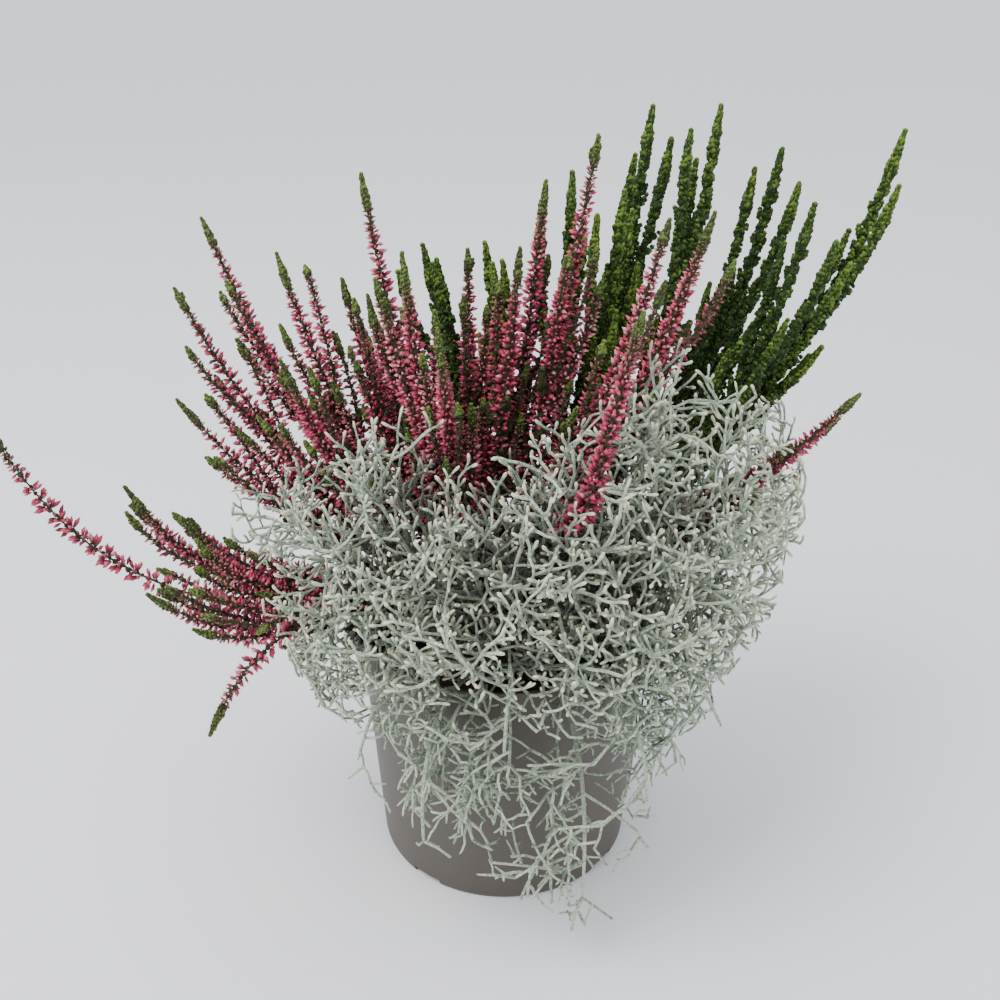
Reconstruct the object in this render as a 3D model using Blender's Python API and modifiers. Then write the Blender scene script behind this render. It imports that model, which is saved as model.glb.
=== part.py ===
"""A mixed heather planting in a plastic pot: pink bud heather, green heather and silver cushion bush.

Metres, +Z up. The origin is the middle of the pot's foot, on the surface that the pot stands on, and the
planting's front is -Y. Every stem is a solid of its own that stands in a plain hole in the soil.
"""

import math

import bmesh
import bpy
import numpy as np
from mathutils import Vector

MM = 0.001

# The pot, a turned plastic shell with a stepped rim and a foot ring that drains through notches.
FOOT_RADIUS = 54 * MM
WALL_TOP_RADIUS = 60.5 * MM
RIM_RADIUS = 65 * MM
POT_HEIGHT = 112 * MM
RIM_DEPTH = 13 * MM
WALL = 1.6 * MM
FOOT_HEIGHT = 3 * MM
FOOT_WIDTH = 7 * MM
FLOOR_TOP = 5 * MM
BOSS_RADIUS = 15 * MM
POT_STEPS = 32
NOTCHES = 4
NOTCH_TURN = math.radians(52)
NOTCH_WIDTH = 14 * MM
DRAIN_RADIUS = 3.5 * MM
DRAIN_CIRCLE = 38 * MM

# The soil, filled to a little below the rim.
SOIL_TOP = 103 * MM
SOIL_GAP = 0.4 * MM
SOIL_RELIEF = 1.2 * MM
SOIL_STEPS = 16
ROOT_DEPTH = 20 * MM
HOLE_RADIUS = 2.3 * MM
HOLE_SPARE = 2 * MM

# Where each plant's root ball is in the pot, and how far its stems' feet spread towards their tips.
PINK_CROWN = (-14 * MM, 8 * MM)
GREEN_CROWN = (22 * MM, 27 * MM)
SILVER_CROWN = (8 * MM, -24 * MM)
FOOT_SPREAD = 0.16
FOOT_SPACING = 7 * MM
FOOT_CIRCLE = 48 * MM

# How a stem gets from its foot to its tip: the two inner points of its curve, each as the share of the way out
# and the share of the climb. A climb under LEAST_CLIMB counts as that much.
HABITS = {
    "upright": ((0.28, 0.34), (0.80, 0.68)),
    "rising": ((0.33, 0.32), (0.80, 0.62)),
    "sweeping": ((0.36, 0.34), (0.94, 0.58)),
    "low": ((0.42, 0.17), (0.86, 0.12)),
    "arching": ((0.30, 0.55), (0.85, 0.62)),
    "hanging": ((0.50, 0.68), (1.15, 0.20)),
}
LEAST_CLIMB = 60 * MM

# Tips of the stems, in millimetres, and the habit of each.
PINK_STEMS = (
    ((-188, -28, 200), "low"),
    ((-156, 8, 164), "low"),
    ((-128, -12, 160), "low"),
    ((-136, -42, 142), "low"),
    ((-113, -62, 90), "arching"),
    ((-135, 24, 196), "rising"),
    ((-137, 48, 236), "rising"),
    ((-126, 62, 262), "rising"),
    ((-88, 10, 218), "rising"),
    ((-92, 42, 252), "rising"),
    ((-64, 26, 246), "rising"),
    ((-53, 16, 288), "upright"),
    ((-37, -6, 264), "upright"),
    ((-24, -20, 240), "upright"),
    ((-14, 24, 258), "upright"),
    ((6, 2, 264), "upright"),
    ((16, 24, 284), "upright"),
    ((34, 8, 303), "upright"),
    ((54, -44, 284), "rising"),
    ((74, -14, 280), "rising"),
    ((138, -2, 208), "rising"),
    ((-60, 74, 226), "rising"),
    ((-104, 84, 184), "rising"),
)
GREEN_STEMS = (
    ((27, 44, 284), "upright"),
    ((46, 26, 280), "upright"),
    ((58, 50, 308), "upright"),
    ((82, 36, 310), "sweeping"),
    ((110, 50, 292), "sweeping"),
    ((118, 22, 276), "sweeping"),
    ((155, 42, 300), "sweeping"),
    ((100, 74, 236), "sweeping"),
    ((-8, 54, 254), "upright"),
    ((-34, 58, 252), "rising"),
    ((52, 88, 238), "rising"),
)
SILVER_STEMS = (
    ((30, -88, 34), "hanging"),
    ((-30, -88, 62), "hanging"),
    ((0, -100, 112), "arching"),
    ((-54, -78, 92), "arching"),
    ((-84, -46, 124), "arching"),
    ((-76, -22, 160), "rising"),
    ((-44, -50, 184), "rising"),
    ((-12, -68, 174), "rising"),
    ((22, -58, 190), "upright"),
    ((46, -84, 150), "rising"),
    ((54, -32, 206), "rising"),
    ((84, -24, 196), "rising"),
    ((78, -62, 166), "rising"),
    ((110, 6, 168), "rising"),
    ((106, -34, 132), "arching"),
    ((80, -74, 104), "arching"),
    ((52, -90, 78), "hanging"),
    ((84, 60, 146), "arching"),
)

# The stems' thickness, and how far flowers and leafy shoots stand out of their slim cores.
ROOT_RADIUS = 1.2 * MM
PINK_CORE = 1.1 * MM
PINK_REACH = 4.8 * MM
GREEN_CORE = 1.7 * MM
GREEN_REACH = 4.6 * MM
TIP_REACH = 2.6 * MM
FLOWER_STEP = 7.3 * MM
LEAF_STEP = 7.5 * MM
FLOWER_LEAN = 1.0 * MM
LEAF_LEAN = 3.0 * MM
SPIKE_SIDES = 6
BARE_SHARE = 0.24
TAPER_SHARE = 0.74

# The heathers' side shoots, which leave their stem and run up beside it. Every stem of the green heather
# has one, and every second stem of the pink one.
SHOOT_PLACE = {"pink": 0.38, "green": 0.46}
SHOOT_EVERY = {"pink": 2, "green": 1}
SHOOT_LENGTH = 38 * MM
SHOOT_OFFSET = 10 * MM
SHOOT_REACH = 3.6 * MM
SHOOT_RINGS = 6
SHOOT_SIDES = 4

# The silver bush's branching, in even steps turned by the golden angle. Each branch ends in a fork.
SILVER_RADIUS = 1.3 * MM
TWIG_RADIUS = 1.1 * MM
BRANCHES = 6
FIRST_BRANCH = 0.26
BRANCH_LENGTH = 22 * MM
BRANCH_ANGLE = math.radians(58)
TWIG_LENGTH = 15 * MM
TWIG_ANGLE = math.radians(42)
TWIGS = 3
KNOT = 2.0 * MM
TURNS_TRIED = 10
GOLDEN_ANGLE = math.radians(137.5)

# The silver bush's outline: how far its cushion reaches from its middle at each height, in millimetres, and
# the strip down the pot's front where its lowest twigs hang.
CUSHION_MIDDLE = (5 * MM, 0)
CUSHION_OUTLINE = ((92, 92), (110, 97), (132, 106), (165, 114), (195, 112), (235, 70))
HANGING_MIDDLE = 12 * MM
HANGING_HALF = 46 * MM
HANGING_FRONT = -40 * MM
HANGING_REACH = 100 * MM

# Room kept between stems, and the thickness that a bare stem counts as when stems are bent apart.
CLEARANCE = 0.7 * MM
BARE_ROOM = 2.6 * MM
RIM_SPACE = 10.5 * MM
PATH_POINTS = 34
BEND_ROUNDS = 90
SEED = 7

COLOURS = {
    "pot": (0.235, 0.200, 0.180, 0.55),
    "soil": (0.055, 0.036, 0.024, 0.95),
    "pink": (0.560, 0.075, 0.170, 0.70),
    "green": (0.075, 0.180, 0.022, 0.65),
    "silver": (0.560, 0.610, 0.540, 0.85),
}


def material(name):
    """A plain finish for each kind of piece."""
    red, green, blue, rough = COLOURS[name]
    found = bpy.data.materials.new(name)
    found.use_nodes = True
    shader = found.node_tree.nodes["Principled BSDF"]
    shader.inputs["Base Color"].default_value = (red, green, blue, 1)
    shader.inputs["Roughness"].default_value = rough
    return found


def unit(vector):
    return vector / np.linalg.norm(vector)


def spread_feet(feet):
    """Feet that crowd each other step apart, and all stay in the soil."""
    feet = np.array(feet)
    for _ in range(200):
        apart = feet[:, None] - feet[None]
        distance = np.linalg.norm(apart, axis=2) + np.eye(len(feet))
        short = np.clip(FOOT_SPACING - distance, 0, None) * (1 - np.eye(len(feet)))
        feet = feet + (apart / distance[..., None] * short[..., None]).sum(1) * 0.4
        reach = np.linalg.norm(feet, axis=1, keepdims=True)
        feet = feet * np.minimum(1, FOOT_CIRCLE / reach)
    return feet


def stem_path(foot, tip, habit):
    """Points from a stem's foot at the top of the soil to its tip, evenly spaced."""
    start = np.array((*foot, SOIL_TOP))
    out = np.array((tip[0] - foot[0], tip[1] - foot[1], 0.0))
    climb = np.array((0.0, 0.0, max(tip[2] - SOIL_TOP, LEAST_CLIMB)))
    (out_a, climb_a), (out_b, climb_b) = HABITS[habit]
    inner_a = start + out * out_a + climb * climb_a
    inner_b = start + out * out_b + climb * climb_b
    t = np.linspace(0, 1, 200)[:, None]
    fine = (
        (1 - t) ** 3 * start
        + 3 * (1 - t) ** 2 * t * inner_a
        + 3 * (1 - t) * t**2 * inner_b
        + t**3 * np.array(tip)
    )
    return resampled(fine, np.linspace(0, 1, PATH_POINTS))


def resampled(path, shares):
    """Points at the given shares of a path's length."""
    steps = np.linalg.norm(np.diff(path, axis=0), axis=1)
    along = np.concatenate([[0], np.cumsum(steps)])
    return np.stack([np.interp(shares * along[-1], along, path[:, k]) for k in range(3)], 1)


def length_of(path):
    return float(np.linalg.norm(np.diff(path, axis=0), axis=1).sum())


def room_along(kind, shares):
    """How far a stem's leaves or flowers reach from its middle, along its length."""
    full = {"pink": PINK_REACH, "green": GREEN_REACH, "silver": BARE_ROOM}[kind]
    if kind == "silver":
        return np.full(len(shares), full)
    reach = np.interp(shares, (TAPER_SHARE, 1), (full, TIP_REACH))
    return np.where(shares < BARE_SHARE, BARE_ROOM, reach)


def rolled_over_rim(points, room):
    """Points too near the pot's rim move out from it, over the top or outside."""
    middle_radius, middle_height = 62 * MM, 105 * MM
    around = np.linalg.norm(points[..., :2], axis=-1)
    outward = points[..., :2] / np.maximum(around, 1e-6)[..., None]
    across = np.stack([around - middle_radius, points[..., 2] - middle_height], -1)
    distance = np.maximum(np.linalg.norm(across, axis=-1), 1e-6)
    short = np.clip(RIM_SPACE + room - distance, 0, None)
    move = across / distance[..., None] * short[..., None]
    moved = points.copy()
    moved[..., :2] += outward * move[..., :1]
    moved[..., 2] += move[..., 1]
    return moved


def pushes(points, wanted_square, wanted):
    """How far each point has to move away from the points that are too near it."""
    square = (points**2).sum(1)
    apart_square = square[:, None] + square[None] - 2 * points @ points.T
    first, second = np.nonzero(apart_square < wanted_square)
    apart = points[first] - points[second]
    distance = np.linalg.norm(apart, axis=1) + 1e-9
    short = np.clip(wanted[first, second] - distance, 0, None)
    moves = apart * (short / distance)[:, None]
    return np.stack([np.bincount(first, moves[:, k], len(points)) for k in range(3)], 1)


def bent_clear(paths, rooms):
    """Stems that pass too close are bent apart a little at a time, and stay smooth."""
    stems, count = paths.shape[:2]
    owner = np.repeat(np.arange(stems), count)
    room = rooms.reshape(-1)
    wanted = (room[:, None] + room[None] + CLEARANCE) * (owner[:, None] != owner[None])
    wanted_square = wanted**2
    freedom = np.clip(np.linspace(0, 4, count), 0, 1)[None, :, None]
    for _ in range(BEND_ROUNDS):
        push = pushes(paths.reshape(-1, 3), wanted_square, wanted).reshape(stems, count, 3)
        for _ in range(3):
            push[:, 1:-1] = (push[:, :-2] + 2 * push[:, 1:-1] + push[:, 2:]) / 4
        paths = paths + push * freedom * 0.22
        paths = np.where(freedom > 0.3, rolled_over_rim(paths, rooms), paths)
        paths[:, 2:-1] += (paths[:, 1:-2] + paths[:, 3:] - 2 * paths[:, 2:-1]) * 0.12
    return paths


def laid_out():
    """The path, the kind and the reach along it of every stem."""
    kinds, tips, habits, feet = [], [], [], []
    crowns = {"pink": PINK_CROWN, "green": GREEN_CROWN, "silver": SILVER_CROWN}
    plants = {"pink": PINK_STEMS, "green": GREEN_STEMS, "silver": SILVER_STEMS}
    for kind, stems in plants.items():
        crown = np.array(crowns[kind])
        for tip, habit in stems:
            tip = np.array(tip, float) * MM
            kinds.append(kind)
            tips.append(tip)
            habits.append(habit)
            feet.append(crown + FOOT_SPREAD * (tip[:2] - crown))
    feet = spread_feet(feet)
    paths = np.array([stem_path(*stem) for stem in zip(feet, tips, habits)])
    shares = np.linspace(0, 1, PATH_POINTS)
    rooms = np.array([room_along(kind, shares) for kind in kinds])
    return kinds, bent_clear(paths, rooms), rooms


class Occupied:
    """The space already taken, as balls along every stem and twig, each with its owner."""

    def __init__(self):
        self.points = np.zeros((0, 3))
        self.rooms = np.zeros(0)
        self.owners = np.zeros(0, int)

    def take(self, points, rooms, owner):
        self.points = np.concatenate([self.points, points])
        self.rooms = np.concatenate([self.rooms, np.broadcast_to(rooms, len(points))])
        self.owners = np.concatenate([self.owners, np.full(len(points), owner)])

    def free(self, points, room, owner, root, near=7 * MM):
        """True where a twig touches no other stem, nor its own away from its root, nor the pot."""
        apart = np.linalg.norm(points[:, None] - self.points[None], axis=2)
        near_root = np.linalg.norm(self.points - root, axis=1) < near
        own = self.owners == owner
        wanted = self.rooms + room + np.where(own, 1.0 * MM, CLEARANCE)
        wanted = np.where(own & near_root, 0, wanted)
        around = np.linalg.norm(points[:, :2], axis=1)
        over = points[:, 2] > POT_HEIGHT + 3 * MM
        outside = around > RIM_RADIUS + 3 * MM
        inside = (around < WALL_TOP_RADIUS - 7 * MM) & (points[:, 2] > SOIL_TOP + 4 * MM)
        clear_of_pot = (over | outside | inside) & (points[:, 2] > 8 * MM)
        return bool((apart > wanted).all() and clear_of_pot.all())


def inside_cushion(points):
    """True where a silver twig stays in the bush's outline."""
    around = np.linalg.norm(points[:, :2] - CUSHION_MIDDLE, axis=1)
    heights, reaches = np.array(CUSHION_OUTLINE).T * MM
    above = (points[:, 2] > heights[0]) & (around < np.interp(points[:, 2], heights, reaches))
    aside = np.abs(points[:, 0] - HANGING_MIDDLE)
    front = (aside < HANGING_HALF) & (points[:, 1] < HANGING_FRONT) & (around < HANGING_REACH)
    return bool((above | front & (points[:, 2] <= heights[0])).all())


def straight(start, end):
    """Points along a straight twig, close enough together to find what crosses it."""
    count = max(3, int(np.linalg.norm(end - start) / (2 * MM)))
    return start + (end - start) * np.linspace(0, 1, count)[:, None]


def sideways(direction, turn):
    """A unit vector square to a direction, turned about it."""
    flat = np.cross(direction, (0, 0, 1))
    if np.linalg.norm(flat) < 0.1:
        flat = np.cross(direction, (1, 0, 0))
    flat = unit(flat)
    return flat * math.cos(turn) + np.cross(direction, flat) * math.sin(turn)


def shoot_path(path, place, turn):
    """A side shoot's points: it leaves its stem, and runs up beside it."""
    shares = place + np.linspace(0, SHOOT_LENGTH / length_of(path), 9)
    main = resampled(path, np.clip(shares, 0, 1))
    aside = sideways(unit(main[-1] - main[0]), turn)
    swing = np.sin(np.linspace(0, math.pi / 2, 9)) * SHOOT_OFFSET
    return main + aside * swing[:, None]


def placed_shoot(taken, owner, path, kind):
    """The side shoot of a heather stem, on the first side that has room for it, or None."""
    for turned in range(TURNS_TRIED):
        turn = GOLDEN_ANGLE * owner + 2 * math.pi * turned / TURNS_TRIED
        found = shoot_path(path, SHOOT_PLACE[kind], turn)
        if taken.free(found[2:], SHOOT_REACH, owner, found[2], 1):
            taken.take(found[2:], SHOOT_REACH, owner)
            return found
    return None


def twig(rng, taken, owner, root, heading, angle, length, first_turn):
    """The end of a straight twig that leaves its root at an angle, on the first side with room, or None."""
    for turned in range(TURNS_TRIED):
        turn = first_turn + 2 * math.pi * turned / TURNS_TRIED
        lean = angle * rng.uniform(0.8, 1.2)
        direction = heading * math.cos(lean) + sideways(heading, turn) * math.sin(lean)
        end = root + unit(direction) * length * rng.uniform(0.8, 1.2)
        points = straight(root + (end - root) * 0.25, end)
        if inside_cushion(points) and taken.free(points, TWIG_RADIUS, owner, root):
            taken.take(points, TWIG_RADIUS, owner)
            return end
    return None


def fork(rng, taken, owner, root, heading, turn):
    """The ends of the twigs that part at a branch's end."""
    ends = []
    for side in range(TWIGS):
        lean_turn = turn + 2 * math.pi * side / TWIGS
        found = twig(rng, taken, owner, root, heading, TWIG_ANGLE, TWIG_LENGTH, lean_turn)
        if found is not None:
            ends.append(found)
    return ends


def grown_spray(rng, taken, owner, path):
    """The branches of one silver stem, each as its place on the stem, its end and the ends of its fork."""
    branches = []
    for number in range(BRANCHES):
        place = FIRST_BRANCH + (0.97 - FIRST_BRANCH) * number / BRANCHES
        low, root, high = resampled(path, np.array([place - 0.04, place, place + 0.04]))
        turn = GOLDEN_ANGLE * number + owner
        heading = unit(high - low)
        end = twig(rng, taken, owner, root, heading, BRANCH_ANGLE, BRANCH_LENGTH, turn)
        if end is not None:
            ends = fork(rng, taken, owner, end, unit(end - root), turn)
            branches.append((place, end, ends))
    heading = unit(path[-1] - path[-3])
    ends = fork(rng, taken, owner, path[-1], heading, owner)
    branches.append((1, path[-1], ends))
    return branches


def linked(obj, group, kind):
    """Puts an object in its collection with the finish of its kind."""
    group.objects.link(obj)
    obj.data.materials.append(bpy.data.materials[kind])
    return obj


def mesh_object(name, bm):
    mesh = bpy.data.meshes.new(name)
    bmesh.ops.recalc_face_normals(bm, faces=bm.faces)
    bm.to_mesh(mesh)
    bm.free()
    return bpy.data.objects.new(name, mesh)


def frames_along(points):
    """At each point the way on and two directions square to it, without twist."""
    ways = np.gradient(points, axis=0)
    ways = ways / np.linalg.norm(ways, axis=1, keepdims=True)
    side = sideways(ways[0], 0)
    frames = []
    for way in ways:
        side = unit(side - way * (side @ way))
        frames.append((way, side, np.cross(way, side)))
    return frames


def spike(name, points, cores, reaches, lean, sides=SPIKE_SIDES):
    """A stem whose surface is raised to a point at every other corner of each ring: the florets or leaves.

    The rings are turned so that each point stands over a gap in the ring below it. No primitive or modifier
    gives such a surface, so its faces are made here, and each raised point is a small pyramid.
    """
    bm = bmesh.new()
    rings = []
    for step, (point, frame) in enumerate(zip(points, frames_along(points))):
        way, across, up = frame
        ring = []
        for corner in range(sides):
            angle = 2 * math.pi * corner / sides
            outward = across * math.cos(angle) + up * math.sin(angle)
            raised = reaches[step] > cores[step] and (corner + step) % 2 == 0
            distance = reaches[step] if raised else cores[step]
            place = point + outward * distance + way * (lean if raised else 0)
            ring.append(bm.verts.new(place))
        rings.append(ring)
    for step, (low, high) in enumerate(zip(rings, rings[1:])):
        for corner in range(sides):
            after = (corner + 1) % sides
            a, b, c, d = low[corner], low[after], high[after], high[corner]
            if (corner + step) % 2 == 0:
                split = ((a, b, d), (b, c, d))
            else:
                split = ((a, b, c), (a, c, d))
            for triangle in split:
                bm.faces.new(triangle)
    bm.faces.new(rings[0])
    bm.faces.new(rings[-1])
    return mesh_object(name, bm)


def heather_stem(name, path, kind):
    """One heather stem: a root in the soil, a bare lower stem, and a spike that narrows to its tip."""
    core = PINK_CORE if kind == "pink" else GREEN_CORE
    step = FLOWER_STEP if kind == "pink" else LEAF_STEP
    lean = FLOWER_LEAN if kind == "pink" else LEAF_LEAN
    whole = length_of(path)
    bare = np.linspace(0, BARE_SHARE, 4)[:-1]
    spike_rings = max(6, int(whole * (1 - BARE_SHARE) / step))
    leafy = np.linspace(BARE_SHARE, 1, spike_rings)
    shares = np.concatenate([bare, leafy])
    points = resampled(path, shares)
    root = points[0] - np.array((0, 0, ROOT_DEPTH))
    points = np.concatenate([[root], points])
    shares = np.concatenate([[0], shares])
    slim = np.interp(shares, (0, BARE_SHARE, TAPER_SHARE, 1), (ROOT_RADIUS, core, core, 0.6 * MM))
    cores = np.where(shares < BARE_SHARE, ROOT_RADIUS, slim)
    reaches = np.where(shares < BARE_SHARE, 0, room_along(kind, shares))
    reaches[-1] = 0
    return spike(name, points, cores, reaches, lean)


def side_shoot(name, points, kind):
    """A short spike with its root inside the stem that it grows from."""
    lean = FLOWER_LEAN if kind == "pink" else LEAF_LEAN * 0.7
    shares = np.linspace(0, 1, SHOOT_RINGS)
    cores = np.interp(shares, (0, 0.3, 1), (0.9 * MM, 1.3 * MM, 0.6 * MM))
    reaches = np.interp(shares, (0, 0.2, 0.6, 1), (0, SHOOT_REACH, SHOOT_REACH, 1.6 * MM))
    reaches[[0, -1]] = 0
    return spike(name, resampled(points, shares), cores, reaches, lean, SHOOT_SIDES)


def ring_round(bm, centre, way, corners, radius):
    """New corners round a centre, square to the way on, each nearest to the old corner that it follows."""
    middle = sum((corner.co for corner in corners), Vector()) / len(corners)
    turned = (corners[1].co - corners[0].co).cross(corners[2].co - corners[1].co)
    turned = turned.normalized().rotation_difference(way)
    ring = []
    for corner in corners:
        spoke = turned @ (corner.co - middle)
        spoke -= way * spoke.dot(way)
        ring.append(bm.verts.new(centre + spoke.normalized() * radius))
    return ring


def raised(bm, face, centre, way, radius):
    """Draws a face out to a new place, and returns its end and the faces round it."""
    corners = list(face.verts)
    ring = ring_round(bm, centre, way, corners, radius)
    bm.faces.remove(face)
    sides = []
    for k, corner in enumerate(corners):
        after = (k + 1) % len(corners)
        sides.append(bm.faces.new((corner, corners[after], ring[after], ring[k])))
    return bm.faces.new(ring), sides


def sharpened(bm, face, tip):
    """Draws a face out to a twig that narrows to a short edge at its tip."""
    corners = list(face.verts)
    middle = sum((corner.co for corner in corners), Vector()) / 4
    half = (corners[0].co + corners[1].co) / 2 - middle
    half = half.normalized() * TWIG_RADIUS
    near = bm.verts.new(tip + half)
    far = bm.verts.new(tip - half)
    bm.faces.remove(face)
    a, b, c, d = corners
    for loop in ((a, b, near), (b, c, far, near), (c, d, far), (d, a, near, far)):
        bm.faces.new(loop)


def facing(faces, way):
    """The face that looks most along a way."""
    for face in faces:
        face.normal_update()
    return max(faces, key=lambda face: face.normal.dot(way))


def raise_fork(bm, face, root, end, ends, radius):
    """A branch drawn out of a face, with a short knot at its end that its twigs are drawn out of."""
    way = (end - root).normalized()
    face, _ = raised(bm, face, end - way * KNOT, way, radius)
    face, faces = raised(bm, face, end, way, radius)
    faces.append(face)
    for tip in ends:
        side = facing(faces, (tip - end).normalized())
        faces.remove(side)
        sharpened(bm, side, tip)


def spray(name, path, branches):
    """A silver stem of four sides. Its branches are drawn out of the short faces between pairs of rings."""
    bm = bmesh.new()
    knot = KNOT / length_of(path) / 2
    shares = [0]
    for place, _, _ in branches[:-1]:
        shares += [place - knot, place + knot]
    points = resampled(path, np.array(shares))
    points = np.concatenate([[points[0] - np.array((0, 0, ROOT_DEPTH))], points])
    ways = [Vector((0, 0, 1)), Vector((0, 0, 1))]
    ways += [Vector(after - before) for before, after in zip(points[1:-1], points[2:])]
    corners = [Vector((1, 0, 0)), Vector((0, 1, 0)), Vector((-1, 0, 0)), Vector((0, -1, 0))]
    foot = [bm.verts.new(Vector(points[0]) + corner * SILVER_RADIUS) for corner in corners]
    face = bm.faces.new(foot)
    bands = []
    for point, way in zip(points[1:], ways[1:]):
        face, sides = raised(bm, face, Vector(point), way.normalized(), SILVER_RADIUS)
        bands.append(sides)
    bm.faces.new(foot[::-1])
    for number, (_, end, ends) in enumerate(branches[:-1]):
        root = Vector((points[2 + 2 * number] + points[3 + 2 * number]) / 2)
        end = Vector(end)
        side = facing(bands[2 + 2 * number], end - root)
        raise_fork(bm, side, root, end, [Vector(tip) for tip in ends], TWIG_RADIUS)
    _, end, ends = branches[-1]
    raise_fork(bm, face, Vector(points[-1]), Vector(end), [Vector(tip) for tip in ends], TWIG_RADIUS)
    return mesh_object(name, bm)


def fused(obj, extras):
    """Joins the extras to an object in one closed body, and removes them."""
    group = bpy.data.collections.new(obj.name + "_extras")
    bpy.context.scene.collection.children.link(group)
    for extra in extras:
        group.objects.link(extra)
    join = obj.modifiers.new("join", "BOOLEAN")
    join.operation = "UNION"
    join.operand_type = "COLLECTION"
    join.collection = group
    join.solver = "MANIFOLD"
    with bpy.context.temp_override(object=obj, active_object=obj):
        bpy.ops.object.modifier_apply(modifier=join.name)
    for extra in extras:
        bpy.data.objects.remove(extra)
    bpy.data.collections.remove(group)


def cut(obj, cutters, solver="EXACT"):
    """Takes the cutters out of an object, and removes them."""
    group = bpy.data.collections.new(obj.name + "_cutters")
    bpy.context.scene.collection.children.link(group)
    for cutter in cutters:
        group.objects.link(cutter)
        cutter.hide_render = True
        cutter.display_type = "WIRE"
    opening = obj.modifiers.new("openings", "BOOLEAN")
    opening.operation = "DIFFERENCE"
    opening.operand_type = "COLLECTION"
    opening.collection = group
    opening.solver = solver
    with bpy.context.temp_override(object=obj, active_object=obj):
        bpy.ops.object.modifier_apply(modifier=opening.name)
    for cutter in cutters:
        bpy.data.objects.remove(cutter)
    bpy.data.collections.remove(group)


def turned_shape(name, profile, steps):
    """A profile of (radius, height) points turned about Z."""
    mesh = bpy.data.meshes.new(name)
    edges = [(k, k + 1) for k in range(len(profile) - 1)]
    mesh.from_pydata([(radius, 0, height) for radius, height in profile], edges, [])
    obj = bpy.data.objects.new(name, mesh)
    bpy.context.scene.collection.objects.link(obj)
    screw = obj.modifiers.new("turn", "SCREW")
    screw.steps = screw.render_steps = steps
    screw.use_merge_vertices = True
    screw.merge_threshold = 0.00001
    with bpy.context.temp_override(object=obj, active_object=obj):
        bpy.ops.object.modifier_apply(modifier=screw.name)
    bpy.context.scene.collection.objects.unlink(obj)
    return obj


def cylinder(name, radius, low, high, place, sides):
    bm = bmesh.new()
    bmesh.ops.create_cone(
        bm, cap_ends=True, segments=sides, radius1=radius, radius2=radius, depth=high - low
    )
    bmesh.ops.translate(bm, vec=(*place, (low + high) / 2), verts=bm.verts)
    return mesh_object(name, bm)


def block(name, size, place, turn):
    bm = bmesh.new()
    bmesh.ops.create_cube(bm, size=1)
    bmesh.ops.scale(bm, vec=size, verts=bm.verts)
    bmesh.ops.translate(bm, vec=place, verts=bm.verts)
    found = mesh_object(name, bm)
    found.rotation_euler.z = turn
    return found


def make_pot(group):
    """The pot: a foot ring and a middle boss to stand on, a tapered wall and a stepped rim."""
    rim_base = POT_HEIGHT - RIM_DEPTH
    inner_top = WALL_TOP_RADIUS - WALL
    profile = (
        (0, FLOOR_TOP),
        (FOOT_RADIUS - WALL, FLOOR_TOP),
        (inner_top, rim_base),
        (RIM_RADIUS - WALL - 0.8 * MM, rim_base + 3 * MM),
        (RIM_RADIUS - WALL, POT_HEIGHT),
        (RIM_RADIUS, POT_HEIGHT),
        (RIM_RADIUS - 0.8 * MM, rim_base),
        (WALL_TOP_RADIUS, rim_base - 1 * MM),
        (FOOT_RADIUS + 0.4 * MM, 2 * MM),
        (FOOT_RADIUS - 0.6 * MM, 0),
        (FOOT_RADIUS - FOOT_WIDTH, 0),
        (FOOT_RADIUS - FOOT_WIDTH - 0.5 * MM, FOOT_HEIGHT),
        (BOSS_RADIUS + 0.5 * MM, FOOT_HEIGHT),
        (BOSS_RADIUS, 0),
        (0, 0),
    )
    pot = turned_shape("pot", profile, POT_STEPS)
    linked(pot, group, "pot")
    cutters = []
    for number in range(NOTCHES):
        turn = 2 * math.pi * number / NOTCHES + NOTCH_TURN
        size = (FOOT_WIDTH * 2.6, NOTCH_WIDTH, 2 * FOOT_HEIGHT)
        cutters.append(block(f"notch_{number}", size, (FOOT_RADIUS, 0, 0), turn))
        place = (DRAIN_CIRCLE * math.cos(turn), DRAIN_CIRCLE * math.sin(turn))
        cutters.append(cylinder(f"drain_{number}", DRAIN_RADIUS, -0.01, 0.02, place, 8))
    cut(pot, cutters)
    pot.data.shade_smooth()
    pot.data.set_sharp_from_angle(angle=math.radians(30))


def soil_height(x, y):
    """The soil's crumbly top, as a few crossed waves."""
    return SOIL_RELIEF * (
        math.sin(210 * x + 1.0) * math.cos(190 * y)
        + 0.6 * math.sin(430 * y + 260 * x)
        + 0.5 * math.cos(520 * x - 330 * y)
    )


def make_soil(group, feet):
    """The soil: it fills the pot, its top is uneven, and each stem has a plain hole in it."""
    low = FLOOR_TOP + SOIL_GAP
    slope = (WALL_TOP_RADIUS - FOOT_RADIUS) / (POT_HEIGHT - RIM_DEPTH - FLOOR_TOP)
    foot = FOOT_RADIUS - WALL - SOIL_GAP
    level = POT_HEIGHT - RIM_DEPTH - 2 * MM
    edge = foot + slope * (level - low) - 0.2 * MM
    profile = [(0, SOIL_TOP - 1 * MM)]
    profile += [(edge * share, SOIL_TOP - 1 * MM) for share in (0.3, 0.55, 0.78, 0.94)]
    profile += [(edge, level), (foot, low), (0, low)]
    soil = turned_shape("soil", profile, SOIL_STEPS)
    for vertex in soil.data.vertices:
        if vertex.co.z > level + 1 * MM:
            vertex.co.z += soil_height(vertex.co.x, vertex.co.y)
    linked(soil, group, "soil")
    bottom = SOIL_TOP - ROOT_DEPTH - HOLE_SPARE
    holes = [
        cylinder(f"hole_{number}", HOLE_RADIUS, bottom, SOIL_TOP + 10 * MM, foot, 4)
        for number, foot in enumerate(feet)
    ]
    cut(soil, holes, "MANIFOLD")


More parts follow.
